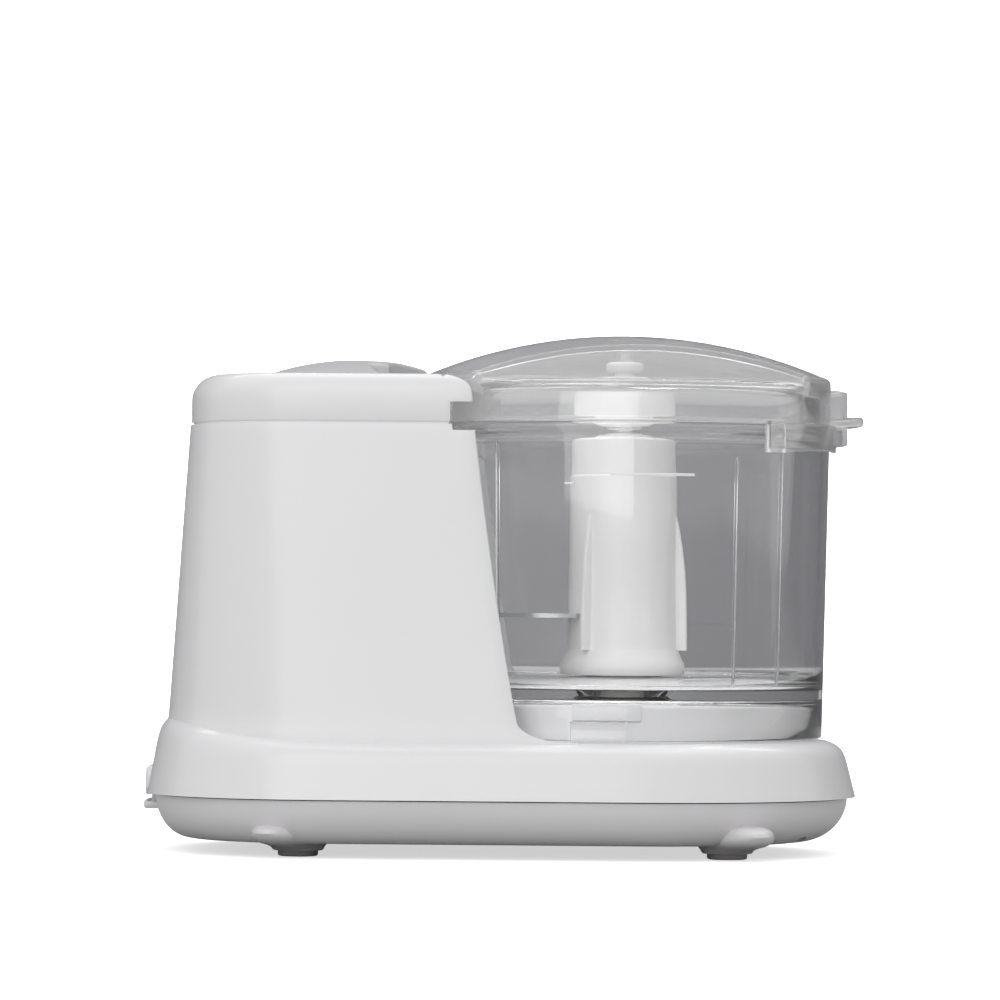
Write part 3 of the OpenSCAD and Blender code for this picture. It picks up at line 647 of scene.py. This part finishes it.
# %% Platform and its ledges
PLATFORM_R, PLATFORM_Z = 53.3, 42.4
platform_profile = [
    (PLATFORM_R, 30.2), (PLATFORM_R, 40.9), (PLATFORM_R - 0.13, 41.5), (PLATFORM_R - 0.5, 42.1),
    (PLATFORM_R - 1.2, PLATFORM_Z), (30, PLATFORM_Z), (10.4, PLATFORM_Z), (9.7, 42.15), (9.5, 41.6),
    (9.5, 40.0), (6.05, 40.0), (6.05, 30.1), (7.75, 30.1), (7.75, 29.5), (11.5, 29.5), (11.5, 39.2),
    (12.3, 40.0), (48, 40.0), (50, 38.5), (50, 30.2)]
platform = solid("platform", revolve(platform_profile, BOWL_X), loop=True, sharp=40)
ledges = [bent_block("ledge", PLATFORM_R - 1, PLATFORM_R + 0.7, 37.6, PLATFORM_Z - 0.05,
                     a + 74.5, a + 94, 0.5) for a in (0, 180)]
crescent = bent_block("crescent", 50.5, 58.0, DECK_Z - WALL, DECK_Z - 0.05, 103, 257)
print("platform", len(platform.data.polygons), "faces")

# %% [markdown]
# ## Cord outlet
# A small block on the left end of the base holds the gland. Its seat is open at the seam, so that in
# assembly the gland is laid in from below and the tub closes it. The outlet is the last piece of the
# housing, so the shells are merged here into the one moulding that they are.

# %% Cord outlet on the left end
INLET_Z, INLET_R = 18.9, 3.9


def upright_box(name, low, high, soft=0.6):
    """A box with rounded upright and level edges, from its lowest and highest corners."""
    (x0, y0, z0), (x1, y1, z1) = low, high
    outline = rounded([(x0, y0), (x1, y0), (x1, y1), (x0, y1)], soft * 1.5, 6)
    middle = np.array([(x0 + x1) / 2, (y0 + y1) / 2])
    rings = []
    for inset, z in ((soft, z0), (soft * 0.3, z0 + soft * 0.3), (0, z0 + soft),
                     (0, z1 - soft), (soft * 0.3, z1 - soft * 0.3), (soft, z1)):
        share = 1 - 2 * inset / np.array([x1 - x0, y1 - y0])
        rings.append(with_height(middle + (outline - middle) * share, z))
    return solid(name, np.array(rings))


def inlet_bore(x0, x1):
    """A round cutter along X on the gland's axis."""
    rings = revolve([(INLET_R, x0), (INLET_R, x1)], steps=48)
    return solid("bore", np.stack([rings[..., 2], rings[..., 0], INLET_Z + rings[..., 1]], -1))


def cord_slot():
    """Cutters for the gland's seat, which is open at the seam."""
    return [inlet_bore(TIP - 2, TIP + 12),
            upright_box("slot", (TIP - 2, -INLET_R, SEAM_Z - 3), (TIP + 12, INLET_R, INLET_Z), 0.05)]


outlet = upright_box("outlet", (TIP + 0.4, -8, SEAM_Z + 0.4), (TIP + 8.4, 8, SEAM_Z + 7.0))
combine(outlet, cord_slot(), "DIFFERENCE")
combine(shoulder, cord_slot(), "DIFFERENCE", 50)
housing = merge("upper_housing_shell", [shoulder, tower, platform, crescent, outlet] + ledges, 50)
wear(housing, "white_shell")
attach(housing, "base")
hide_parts("upper_housing")
print("housing", len(housing.data.polygons), "faces")

# %% [markdown]
# ## Top cover
# The cover caps the tower with a soft 7 mm edge all round except on the hollow side, where the edge is
# 4 mm. It is a solid cap with its inside cut away, then the slot for the lid's tab, the notch in the
# front and the hole for the button.

# %% Cover
EDGE_R = 7.0
HOLLOW_EDGE = 4.0


def cover_ring(roll, z, thickness, hollow):
    """One ring of the cover at a height, drawn in by a roll round the edge and by a wall thickness."""
    return with_height(tower_plan(LEFT + 11.5 + roll + thickness, 47.5 - 0.6 * roll - thickness,
                                  31.6 - roll - thickness, hollow), z)


def cover_solid(name, thickness, hollow, low):
    """The cover's outer or inner form: a groove at the seam, an upright side and a rounded edge."""
    top = COVER_TOP_Z - thickness
    rings = [cover_ring(roll, low + up, thickness, hollow)
             for roll, up in ((0.7, 0), (0.7, 0.45), (0.1, 0.75), (0, 1.1))]
    for turn in np.radians(np.linspace(0, 90, 13)):
        up = max(0.0, (EDGE_R * math.sin(turn) - EDGE_R + HOLLOW_EDGE) / HOLLOW_EDGE)
        inward = 4.2 * (1 - math.sqrt(max(0.0, 1 - up ** 2)))
        rings.append(cover_ring(EDGE_R * (1 - math.cos(turn)), top - EDGE_R + EDGE_R * math.sin(turn),
                                thickness, hollow + inward * (thickness == 0)))
    return solid(name, np.array(rings), sharp=40)


def button_plan(inset):
    """The button's bean outline: round on the left, hollow on the right, with two soft horns. Its front
    horn stays clear of the lid's slot, and its rear horn reaches further."""

    def side(hollow, half, horn):
        y = half - horn
        x = BOWL_X - math.sqrt((hollow + horn) ** 2 - y ** 2)
        lean = math.degrees(math.atan2(y, BOWL_X - x))
        big = 24 - inset
        return np.concatenate([
            arc((BOWL_X, 0), hollow, 180, 180 + lean, 20),
            arc((x, -y), horn, lean, -90, 9)[1:],
            line((x, -half), (-68 + inset + big, -half), 6),
            arc((-68 + inset + big, big - half), big, 270, 180, 28)])

    front = side(70.6 + inset, 35 - inset, 3.0 - inset * 0.5)
    back = side(66.0 + inset, 38.5 - inset, 2.2 - inset * 0.4)[::-1] * [1, -1]
    join = (front[0] + back[-1]) / 2
    return np.concatenate([[join], front[1:], back[:-1]])


cover = cover_solid("top_cover_shell", 0, WELL_R, COVER_SEAM_Z + 0.02)
hole_outline = button_plan(-0.6)
cutters = [
    cover_solid("cover_inside", WALL, RIM_R, COVER_SEAM_Z - 1),
    bent_block("slot_open", WELL_R - 1.2, POCKET_R, 100, 150, 181, 222),
    bent_block("slot_low", WELL_R - 1.2, POCKET_R, 100, NOTCH_HIGH, 219, 240),
    solid("button_hole", np.array([with_height(hole_outline, z) for z in (100, 160)]))]
combine(cover, cutters, "DIFFERENCE")
soften(cover, 0.25)
wear(cover, "white_shell")
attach(cover, "base")
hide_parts("top_cover")
print("cover", len(cover.data.polygons), "faces")

# %% [markdown]
# ## Pulse button
# The button is a wide bean-shaped dome that stands a little proud of the cover and is pressed with the
# palm. Rings of the bean outline run round its small edge and then shrink towards a middle point, and
# each takes its height from one formula for the dome.

# %% Pulse button
BUTTON_TOP = box_mm("pulse_button")[1][2]
BUTTON_MIDDLE = np.array([-50.0, 0.0])
BUTTON_EDGE = 1.3


def dome_height(outline):
    """Height of the button's dome. It falls with the square of the distance from a crown a little behind
    the middle, and never dips below the cover."""
    x, y = outline[:, 0] + 43, outline[:, 1] - 26
    dome = BUTTON_TOP - np.where(x < 0, x ** 2 / 142, x ** 2 / 240) - y ** 2 / 420
    return COVER_TOP_Z + 0.5 + np.logaddexp(0, (dome - COVER_TOP_Z - 0.5) * 3) / 3


bean = button_plan(0.0)
rings = [with_height(bean, COVER_TOP_Z - 2.4), with_height(bean, COVER_TOP_Z - 1.2)]
for turn in np.radians(np.linspace(0, 80, 7)):
    drawn = button_plan(BUTTON_EDGE * (1 - math.cos(turn)))
    rings.append(with_height(drawn, dome_height(drawn) - BUTTON_EDGE * (1 - math.sin(turn))))
for share in np.linspace(0.95, 0.04, 18):
    drawn = BUTTON_MIDDLE + (button_plan(BUTTON_EDGE) - BUTTON_MIDDLE) * share
    rings.append(with_height(drawn, dome_height(drawn)))
button = solid("pulse_button_cap", np.array(rings), sharp=40)
wear(button, "button_plastic")
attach(button, "button")
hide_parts("pulse_button")
print("button", len(button.data.polygons), "faces")

# %% [markdown]
# ## Tub and legs
# The tub closes the underside. Its edge is a quarter ellipse, and each foot is a short leg that flares
# into it, with a nose that leans out to the nearest corner. Vents let the motor breathe, and wells take
# the screws that hold the housing from below. The hook on the left end holds the cord.

# %% Tub
TUB_TOP, TUB_LOW = SEAM_Z - 0.3, 4.0


def tub_plan(inset, tuck=0.0):
    """The tub's outline: it stops a little short of the housing, most of all at its two ends. The tuck
    draws the right end in further, growing with the square of the distance from x = 40."""
    outline = oval_plan(0.9 + inset)
    right = np.clip((outline[:, :1] - 40) / (RIGHT - 40), 0, 1) ** 2
    return outline + [0.7, 0] * (1 - outline[:, :1] / 90) - [1.4 + tuck, 0] * right


def tub_ring(turn, thickness):
    """Ring on the tub's edge: inset = 10 (1 - cos), height falls with sin."""
    curl = 1 - math.cos(turn)
    depth = (TUB_TOP - TUB_LOW) * math.sin(turn)
    return with_height(tub_plan(10 * curl + thickness, 4 * curl),
                       TUB_TOP - depth + thickness * math.sin(turn))


rim_turns = np.radians(np.linspace(0, 90, 20))
outer = [tub_ring(turn, 0) for turn in rim_turns]
floor_rings = [with_height(oval_plan(s), TUB_LOW) for s in (25, 40, 55)]
inner_floor = [with_height(oval_plan(s), TUB_LOW + WALL) for s in (55, 40, 25)]
inner = [tub_ring(turn, WALL) for turn in rim_turns[::-1][1:]]
tub = solid("bottom_tub_shell", np.array(outer + floor_rings), sharp=40)
inside = solid("tub_inside", np.array(inner_floor + inner
                                      + [with_height(tub_plan(WALL), TUB_TOP + 3)]), sharp=40)
combine(tub, [inside], "DIFFERENCE", 40)
FOOT_X, FOOT_Y, PAD_Z, PAD_R = (-55.8, 61.1), 38.0, 1.6, 5.5
SCREWS = [(x, y) for x in (-76, 80) for y in (-30, 30)]


def foot_leg(x, y):
    """A leg that flares from its pad up into the tub. Its nose swells towards the nearest corner and
    rounds off again below the seam: each ring is a circle with a bulge in one direction, and the higher
    the ring the narrower the bulge."""
    out = np.array([math.copysign(0.33, x), math.copysign(0.944, y)])
    turn = np.radians(np.linspace(0, 360, 64, endpoint=False))
    circle = np.stack([np.cos(turn), np.sin(turn)], -1)
    towards = np.clip(circle @ out, 0, 1)[:, None]
    rings = []
    for up, radius, nose in (
            (0, 6.5, 0), (0.12, 6.8, 0), (0.4, 7.0, 0.2), (1.0, 7.3, 2.0), (1.6, 7.8, 4.8), (2.4, 8.4, 9.6),
            (3.4, 8.9, 13.4), (4.4, 9.2, 15.2), (5.4, 9.3, 16.0), (6.4, 9.2, 15.9), (7.2, 8.9, 14.9),
            (7.8, 8.4, 12.0), (8.3, 7.4, 7.0), (8.6, 6.0, 2.0)):
        reach = radius + nose * towards ** (2 + 1.2 * up)
        rings.append(with_height(np.array([x, y]) + circle * reach, PAD_Z + up))
    return solid("leg", np.array(rings), sharp=60)


def upright_bar(name, x, y, z0, z1, radius):
    """A round upright bar or cutter."""
    return solid(name, revolve([(radius, z0), (radius, z1)], x, y, 40))


legs = [foot_leg(x, y) for x in FOOT_X for y in (-FOOT_Y, FOOT_Y)]
vents = [upright_box("vent", (-18 + i * 6, -20, 0), (-15.4 + i * 6, 20, 9), 0.5) for i in range(-3, 4)]
screw_wells = [upright_bar("well", x, y, 0, 9, 3.2) for x, y in SCREWS]
combine(tub, vents + screw_wells, "DIFFERENCE", 40)
hook = merge("hook", [upright_box("hook", (TIP, -9, 11.4), (TIP + 7, 9, 13.4), 0.5),
                      upright_box("hook", (TIP, -9, 11.6), (TIP + 1.3, 9, 13.8), 0.4)])
tongue = combine(upright_box("tongue", (TIP + 1.8, -3.7, 13.2), (TIP + 6.1, 3.7, 16.5), 0.3),
                 [inlet_bore(TIP, TIP + 8)], "DIFFERENCE")
post_profile = [(3.3, 7.0), (4.2, 7.0), (4.2, TUB_TOP), (1.8, TUB_TOP), (1.8, 9.0), (3.3, 9.0)]
posts = [solid("post", revolve(post_profile, x, y, 40), loop=True) for x, y in SCREWS]
posts += [upright_bar("post", x, y, 6.0, 36.0, 3.6) for x in (-80, -36) for y in (-18, 18)]
tub = merge("bottom_tub_shell", [tub, hook, tongue] + legs + posts, 40)
wear(tub, "white_tub")
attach(tub, "base")
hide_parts("bottom_tub")
print("tub", len(tub.data.polygons), "faces")

# %% [markdown]
# ## Rubber pads
# A soft rubber disc is pressed into the end of each leg. Each is a small turned profile, and each is a
# piece of its own because each real pad is.

# %% Rubber pads


def rubber_pad(node, x, y):
    """A low disc with a rounded edge and a shallow ring moulded into its face."""
    profile = [(0.02, 0.25), (2.2, 0.25), (2.6, 0.05), (3.0, 0.0), (4.7, 0.0), (5.2, 0.12), (PAD_R, 0.5),
               (PAD_R, 1.55), (PAD_R - 0.2, PAD_Z + 0.05), (0.02, PAD_Z + 0.05)]
    pad = solid(node + "_pad", revolve(profile, x, y, 72), sharp=40)
    wear(pad, "foot_rubber")
    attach(pad, "base")
    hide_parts(node)


for side, y in (("front", -FOOT_Y), ("rear", FOOT_Y)):
    for end, x in (("left", FOOT_X[0]), ("right", FOOT_X[1])):
        rubber_pad(f"foot_{side}_{end}", x, y)
print("four pads of radius", PAD_R, "mm")

# %% [markdown]
# ## The clear bowl
# The bowl is turned on a lathe of numbers: a drafted wall, a stepped neck for the lid, a floor and a
# centre tube that the drive comes up through. The wall has its true thickness, because light bends twice
# in it, and that is what makes clear plastic look like clear plastic. Ribs and lugs are fused into the
# wall with a union, so that no surface is left inside the plastic.

# %% Bowl
SHOULDER_Z, NECK_Z, FLOOR_Z = 118.6, 126.8, 43.4
CLEAR = 2.2      # thickness of the clear walls
LOW_R = 55.9     # outer radius of the wall at the deck
TUBE_BORE, TUBE_R, TUBE_TOP = 8.6, 10.6, 106.0


def wall_outer(z):
    """Outer radius of the drafted wall at a height."""
    return LOW_R + (BOWL_R - LOW_R) * (z - DECK_Z) / (SHOULDER_Z - DECK_Z)


skirt_z = DECK_Z + 0.5
outer = [(wall_outer(z), z) for z in np.linspace(skirt_z + 0.7, SHOULDER_Z - 0.8, 30)]
profile = [(wall_outer(skirt_z) - 0.9, skirt_z), (wall_outer(skirt_z) - 0.25, skirt_z + 0.2)] + outer
profile += [(BOWL_R - 0.25, SHOULDER_Z - 0.2), (BOWL_R - 0.9, SHOULDER_Z), (55.3, SHOULDER_Z + 0.05),
            (54.9, SHOULDER_Z + 0.3), (54.8, SHOULDER_Z + 0.9), (54.8, NECK_Z - 0.7), (54.5, NECK_Z - 0.1),
            (53.9, NECK_Z), (53.2, NECK_Z - 0.1), (52.9, NECK_Z - 0.7), (52.9, SHOULDER_Z - 0.6),
            (53.2, SHOULDER_Z - 1.8), (54.6, SHOULDER_Z - 3.2), (BOWL_R - CLEAR - 0.1, SHOULDER_Z - 4.4)]
profile += [(wall_outer(z) - CLEAR, z) for z in np.linspace(SHOULDER_Z - 6, FLOOR_Z + 6.5, 26)]
profile += [(wall_outer(FLOOR_Z) - CLEAR - 4 * (1 - math.cos(t)), FLOOR_Z + 6.5 - 4 * math.sin(t))
            for t in np.radians(np.linspace(15, 90, 7))]
profile += [(40, FLOOR_Z + 2.5), (25, FLOOR_Z + 2.5), (TUBE_R + 1.6, FLOOR_Z + 2.5),
            (TUBE_R + 0.5, FLOOR_Z + 3), (TUBE_R, FLOOR_Z + 4.2), (TUBE_R - 0.2, 80),
            (TUBE_R - 0.4, TUBE_TOP - 0.6), (TUBE_R - 0.9, TUBE_TOP), (TUBE_BORE + 0.5, TUBE_TOP),
            (TUBE_BORE, TUBE_TOP - 0.5), (TUBE_BORE, 80), (TUBE_BORE, FLOOR_Z + 0.8),
            (TUBE_BORE + 0.8, FLOOR_Z), (25, FLOOR_Z), (51.5, FLOOR_Z), (53.2, FLOOR_Z - 0.2),
            (54.0, FLOOR_Z - 0.9), (54.4, FLOOR_Z - 2.4), (54.3, skirt_z + 0.4), (54.6, skirt_z)]
bowl = solid("bowl_clear", revolve(profile, BOWL_X, 0, 192), loop=True, sharp=60)


def wall_rib(angle, top):
    """An upright rib on the inside of the wall. Over its last 4 mm it thins by a quarter circle."""
    depth = width = 0.9
    bend = top - 4
    rings = []
    heights = np.concatenate([np.linspace(FLOOR_Z + 1.5, bend, 12), bend + 4 * np.sin(np.linspace(0.3, 1.5, 6))])
    for z in heights:
        share = 1.0 if z < bend else math.sqrt(max(0.02, 1 - ((z - bend) / 4) ** 2))
        r = wall_outer(z)
        rings.append(with_height(rounded([(r - 1.0, -width / 2), (r - 1.0, width / 2),
                                          (r - CLEAR - depth * share, width / 2 * 0.7),
                                          (r - CLEAR - depth * share, -width / 2 * 0.7)], 0.2, 4), z))
    return solid("rib", turned(np.array(rings), angle), sharp=50)


ribs = [wall_rib(angle, top) for angle, top in ((230.6, 113), (302, 109.5), (319, 112), (150, 112))]
lugs = [bent_block("lug", 53.5, 54.8, skirt_z + 0.6, 37.3, a + 74, a + 89.5, 0.4) for a in (0, 180)]
combine(bowl, ribs + lugs, "UNION", 50)
wear(bowl, "clear_plastic")
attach(bowl, "base")
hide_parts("bowl")
print("bowl", len(bowl.data.polygons), "faces")

# %% [markdown]
# ## The lid
# Seen from above the lid is a disc with a broad arch across it and a finger scoop on either side. A
# polar grid would blur the two long edges of the arch, so the top is a grid of chords: each row is one
# straight cut across the disc, and rows crowd together where the arch's side falls away. The rim, the
# skirt and the inside go on from the grid's border, so the lid is one closed shell.

# %% Lid shell
LID_TOP, LID_BALL = 144.17, 142.0    # top of the arch, and radius of the ball that it is part of
ARCH_HALF, ARCH_TURN = 36.0, 7.0     # half width of the arch, and how far it is turned, in degrees
LEDGE_Z, SEAT_Z = 130.0, 119.0       # bottom of the scoops, and the rim that the lid rests on


def lid_height(x, y, drop, side):
    """Height of the lid's top at a point measured along and across the arch: a ball's cap between the
    two scoops, a flat ledge outside them, and an S-curve from one to the other."""
    cap = LID_TOP - LID_BALL + np.sqrt((LID_BALL - drop) ** 2 - x ** 2 - y ** 2)
    s = np.clip((side - np.abs(y)) / 3.4, 0, 1)
    s = s * s * (3 - 2 * s)
    return (LEDGE_Z - drop) * (1 - s) + cap * s


def lid_cap(radius, drop, side):
    """Chord grid of the lid's top: rows across the arch, points along each row."""
    rows = np.concatenate([
        np.linspace(-radius * 0.9995, -side - 0.8, 14),
        np.linspace(-side - 0.4, -side + 3.8, 15), np.linspace(-side + 4.8, side - 4.8, 35),
        np.linspace(side - 3.8, side + 0.4, 15), np.linspace(side + 0.8, radius * 0.9995, 14)])
    half_chord = np.sqrt(np.maximum(radius ** 2 - rows ** 2, 0))
    share = np.sin(np.linspace(-np.pi / 2, np.pi / 2, 41))
    x = half_chord[:, None] * share
    y = np.broadcast_to(rows[:, None], x.shape)
    z = lid_height(x, y, drop, side)
    return np.stack([x, y, z], -1)


def border(grid):
    """The outermost points of a chord grid, in order round the disc."""
    return np.concatenate([grid[0, :-1], grid[:-1, -1], grid[-1, :0:-1], grid[:0:-1, 0]])


def lid_shell():
    """Outer and inner grid of the lid's top, and the rings that join their borders round the skirt."""
    outer = lid_cap(56.0, 0.0, ARCH_HALF)
    inner = lid_cap(54.6, CLEAR, ARCH_HALF - CLEAR)
    edge_out, edge_in = border(outer), border(inner)
    angle = np.arctan2(edge_out[:, 1], edge_out[:, 0])
    angle_in = np.arctan2(edge_in[:, 1], edge_in[:, 0])

    def ring(turn, radius, height):
        return np.stack([radius * np.cos(turn), radius * np.sin(turn), height * np.ones_like(turn)], -1)

    rings = [edge_out]
    for t in np.radians([25, 50, 70, 90]):
        rings.append(ring(angle, 56.0 + 1.7 * math.sin(t), edge_out[:, 2] - 1.7 * (1 - math.cos(t))))
    low_z = SEAT_Z - 0.4
    for radius, height in (
            (57.75, 127.8), (57.5, 127.2), (57.5, 126.4), (57.6, 120.4), (57.75, 119.6), (57.75, low_z + 0.2),
            (57.5, low_z), (55.6, low_z), (55.35, low_z + 0.3), (55.3, 120.0), (55.3, 125.8)):
        rings.append(ring(angle, radius, height))
    rings.append(ring(angle_in, 55.1, edge_in[:, 2] - 0.6))
    rings.append(edge_in)
    return outer, inner, np.array(rings)


cap_out, cap_in, skirt = lid_shell()


def fill(grid, start, flip):
    """Faces of a chord grid whose points start at an index."""
    rows, columns = grid.shape[:2]
    index = start + np.arange(rows * columns).reshape(rows, columns)
    quads = np.stack([index[:-1, :-1], index[:-1, 1:], index[1:, 1:], index[1:, :-1]], -1).reshape(-1, 4)
    return (quads[:, ::-1] if flip else quads).tolist()


n_out, n_in = cap_out.shape[0] * cap_out.shape[1], cap_in.shape[0] * cap_in.shape[1]
points = np.concatenate([cap_out.reshape(-1, 3), cap_in.reshape(-1, 3), skirt.reshape(-1, 3)])
rings, around = skirt.shape[:2]
index = n_out + n_in + np.arange(rings * around).reshape(rings, around)
walls = np.stack([index[:-1], np.roll(index[:-1], -1, 1), np.roll(index[1:], -1, 1), index[1:]], -1)
mesh = bpy.data.meshes.new("lid_clear")
mesh.from_pydata((turned(points, ARCH_TURN) * MM).tolist(), [],
                 fill(cap_out, 0, False) + fill(cap_in, n_out, True) + walls.reshape(-1, 4).tolist())
lid = bpy.data.objects.new("lid_clear", mesh)
bpy.context.scene.collection.objects.link(lid)
tidy_mesh(lid, 60)

print("lid shell", len(lid.data.polygons), "faces")

# %% [markdown]
# ## The lid's tabs
# Two tabs, on opposite sides, lock the lid: the left one turns into the pocket in the tower. Each has an
# upright wall, a fin to push with the thumb, and a flange that runs on round the bowl's rim to a tooth.
# They are bars bent round the bowl's axis and joined to the lid with a union, so the plastic is one body.

# %% Tabs
TAB_OUT, FIN_OUT = 62.4, 66.9


def bent_section(name, corners, soft, start, end):
    """A bar whose section has rounded corners, bent round the bowl's axis between two angles."""
    return solid(name, bent_bar(rounded(corners, soft, 4), start, end, BOWL_X), sharp=50)


def lid_tab(base, first, last):
    """One locking tab between two angles: an upright wall on the skirt, a fin, a flange and its tooth."""
    wall = bent_section("tab", [(57.0, 118.9), (57.0, 129.4), (60.0, 129.4), (TAB_OUT, 128.8), (TAB_OUT, 114.0),
                                (61.0, 114.0), (61.0, 118.2)], 0.5, base + first, base + last)
    fin = bent_block("fin", TAB_OUT - 0.8, FIN_OUT, 119.4, 122.0, base + first + 0.3, base + last - 0.3, 0.9)
    flange = bent_section("flange", [(57.9, 112.0), (59.3, 112.0), (59.3, 119.3), (57.2, 119.3), (57.2, 118.9),
                                     (57.9, 118.9)], 0.3, base - 49, base + first + 1)
    tooth = bent_section("tooth", [(57.9, 110.6), (60.2, 110.6), (60.2, 118.4), (57.9, 118.4)],
                         0.4, base - 50, base - 44.5)
    return [wall, fin, flange, tooth]


combine(lid, lid_tab(0, -3, 36) + lid_tab(180, 5, 34), "UNION", 50)
wear(lid, "clear_plastic", CLEAR_LID)
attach(lid, "lid")
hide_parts("lid")
print("lid", len(lid.data.polygons), "faces")

# %% [markdown]
# ## The pin in the lid's middle
# A small hollow pin stands in the lid's middle, on the axis that the lid turns about. It steadies the cap
# of the blade column. It rides with the lid when it lifts and stays still when it turns.

# %% Lid pin
pin_low, pin_high = box_mm("lid_pin")
PIN_R, PIN_BORE = 2.4, 1.5
pin_profile = [(PIN_R, pin_low[2] + 0.1), (PIN_R, pin_high[2] - 1.4), (PIN_R + 0.3, pin_high[2] - 1.1),
               (0.05, pin_high[2] - 1.1), (0.05, pin_high[2] - 2.2), (PIN_BORE, pin_high[2] - 2.2),
               (PIN_BORE, pin_low[2] + 1.0), (0.05, pin_low[2] + 1.0), (0.05, pin_low[2] + 0.1)]
pin = solid("lid_pin_clear", revolve(pin_profile, BOWL_X, 0, 64), sharp=40)
wear(pin, "clear_plastic", CLEAR_LID)
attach(pin, "lid_carrier")
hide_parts("lid_pin")
print("pin", round(pin_high[2] - pin_low[2], 1), "mm tall")

# %% [markdown]
# ## Blade column
# The white column stands over the centre tube and carries two sickle blades, one low and one high, which
# are the CAD's own pieces. Its foot is wider, three thin fins stand on it, and a separate cap closes its
# top. Column and cap are turned profiles, and the hollow below is part of the column's profile.

# %% Column
hub_low = box_mm("blade_hub")[0]
HUB_R, HUB_TOP = 14.9, 121.0
hub_profile = [
    (12.7, hub_low[2]), (16.9, hub_low[2]), (17.4, hub_low[2] + 0.5), (17.4, 52.6), (16.9, 53.6),
    (15.6, 56.4),
    (HUB_R + 0.4, 57.4), (HUB_R + 0.1, 75), (HUB_R, 104.6), (HUB_R - 0.05, 105.0), (HUB_R - 0.4, 105.3),
    (HUB_R - 0.45, 116.5), (HUB_R - 1.0, 119.2), (HUB_R - 2.6, HUB_TOP - 0.3), (HUB_R - 4, HUB_TOP),
    (8.9, HUB_TOP + 0.4), (8.1, HUB_TOP + 1.6), (7.8, 126), (7.2, 129.4), (5.8, 130.8), (3.2, 131.1),
    (2.7, 131.8), (2.6, 134.2), (0.05, 134.2), (0.05, 115), (5.4, 115), (5.4, 107.2), (12.2, 106.8),
    (12.6, 106), (12.6, 70)]
column = solid("blade_column", revolve(hub_profile, BOWL_X, 0, 128), loop=True, sharp=45)


def thin_fin(angle):
    """An upright fin on the column that thins towards its top."""
    rings = []
    for z in np.linspace(56.5, 96, 16):
        reach = 18.2 - 3.6 * ((z - 56.5) / 39.5) ** 3
        rings.append(with_height(rounded([(13.9, -1.0), (reach, -0.7), (reach, 0.7), (13.9, 1.0)], 0.5, 4), z))
    return solid("fin", turned(np.array(rings), angle), sharp=50)


column = merge("blade_column", [column] + [thin_fin(a) for a in (-10, 110, 230)], 45)
wear(column, "hub_white")
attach(column, "blade")
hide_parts("blade_hub")
cap_low, cap_high = box_mm("hub_cap")
cap_profile = [(0.05, cap_low[2] - 1.0), (4.7, cap_low[2] - 1.0), (5.25, cap_low[2] - 0.5),
               (5.25, cap_high[2] - 0.9), (4.9, cap_high[2] - 0.3), (4.2, cap_high[2]), (0.05, cap_high[2])]
cap = solid("column_cap", revolve(cap_profile, BOWL_X, 0, 72), sharp=50)
wear(cap, "hub_white")
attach(cap, "blade")
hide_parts("hub_cap")
print("column", len(column.data.polygons), "faces")

# %% [markdown]
# ## Level line
# A plain raised line and a short tick on the front of the bowl show how far to fill it. They are moulded
# with the bowl, so they are thin bars that follow its wall.

# %% Fill line and tick
LINE_Z = 104.2


def wall_mark(start, end, z, height):
    """A thin raised bar on the outside of the wall."""
    r = wall_outer(z)
    section = rounded([(r - 0.4, z - height / 2), (r + 0.22, z - height / 2), (r + 0.22, z + height / 2),
                       (r - 0.4, z + height / 2)], 0.12, 3)
    return solid("mark", bent_bar(section, start, end, BOWL_X, 1.0), sharp=50)


marks = merge("fill_line", [wall_mark(265, 288, LINE_Z, 0.75), wall_mark(252.5, 255, LINE_Z - 2.5, 0.6)], 50)
wear(marks, "clear_plastic", CLEAR_MARK)
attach(marks, "base")
print("fill line", round(LINE_Z, 1), "mm up")

# %% [markdown]
# ## Sizes
# The CAD's box is printed at the end. The new surfaces must stay inside the box of the CAD.

# %% Sizes
print("cad", cad_box)
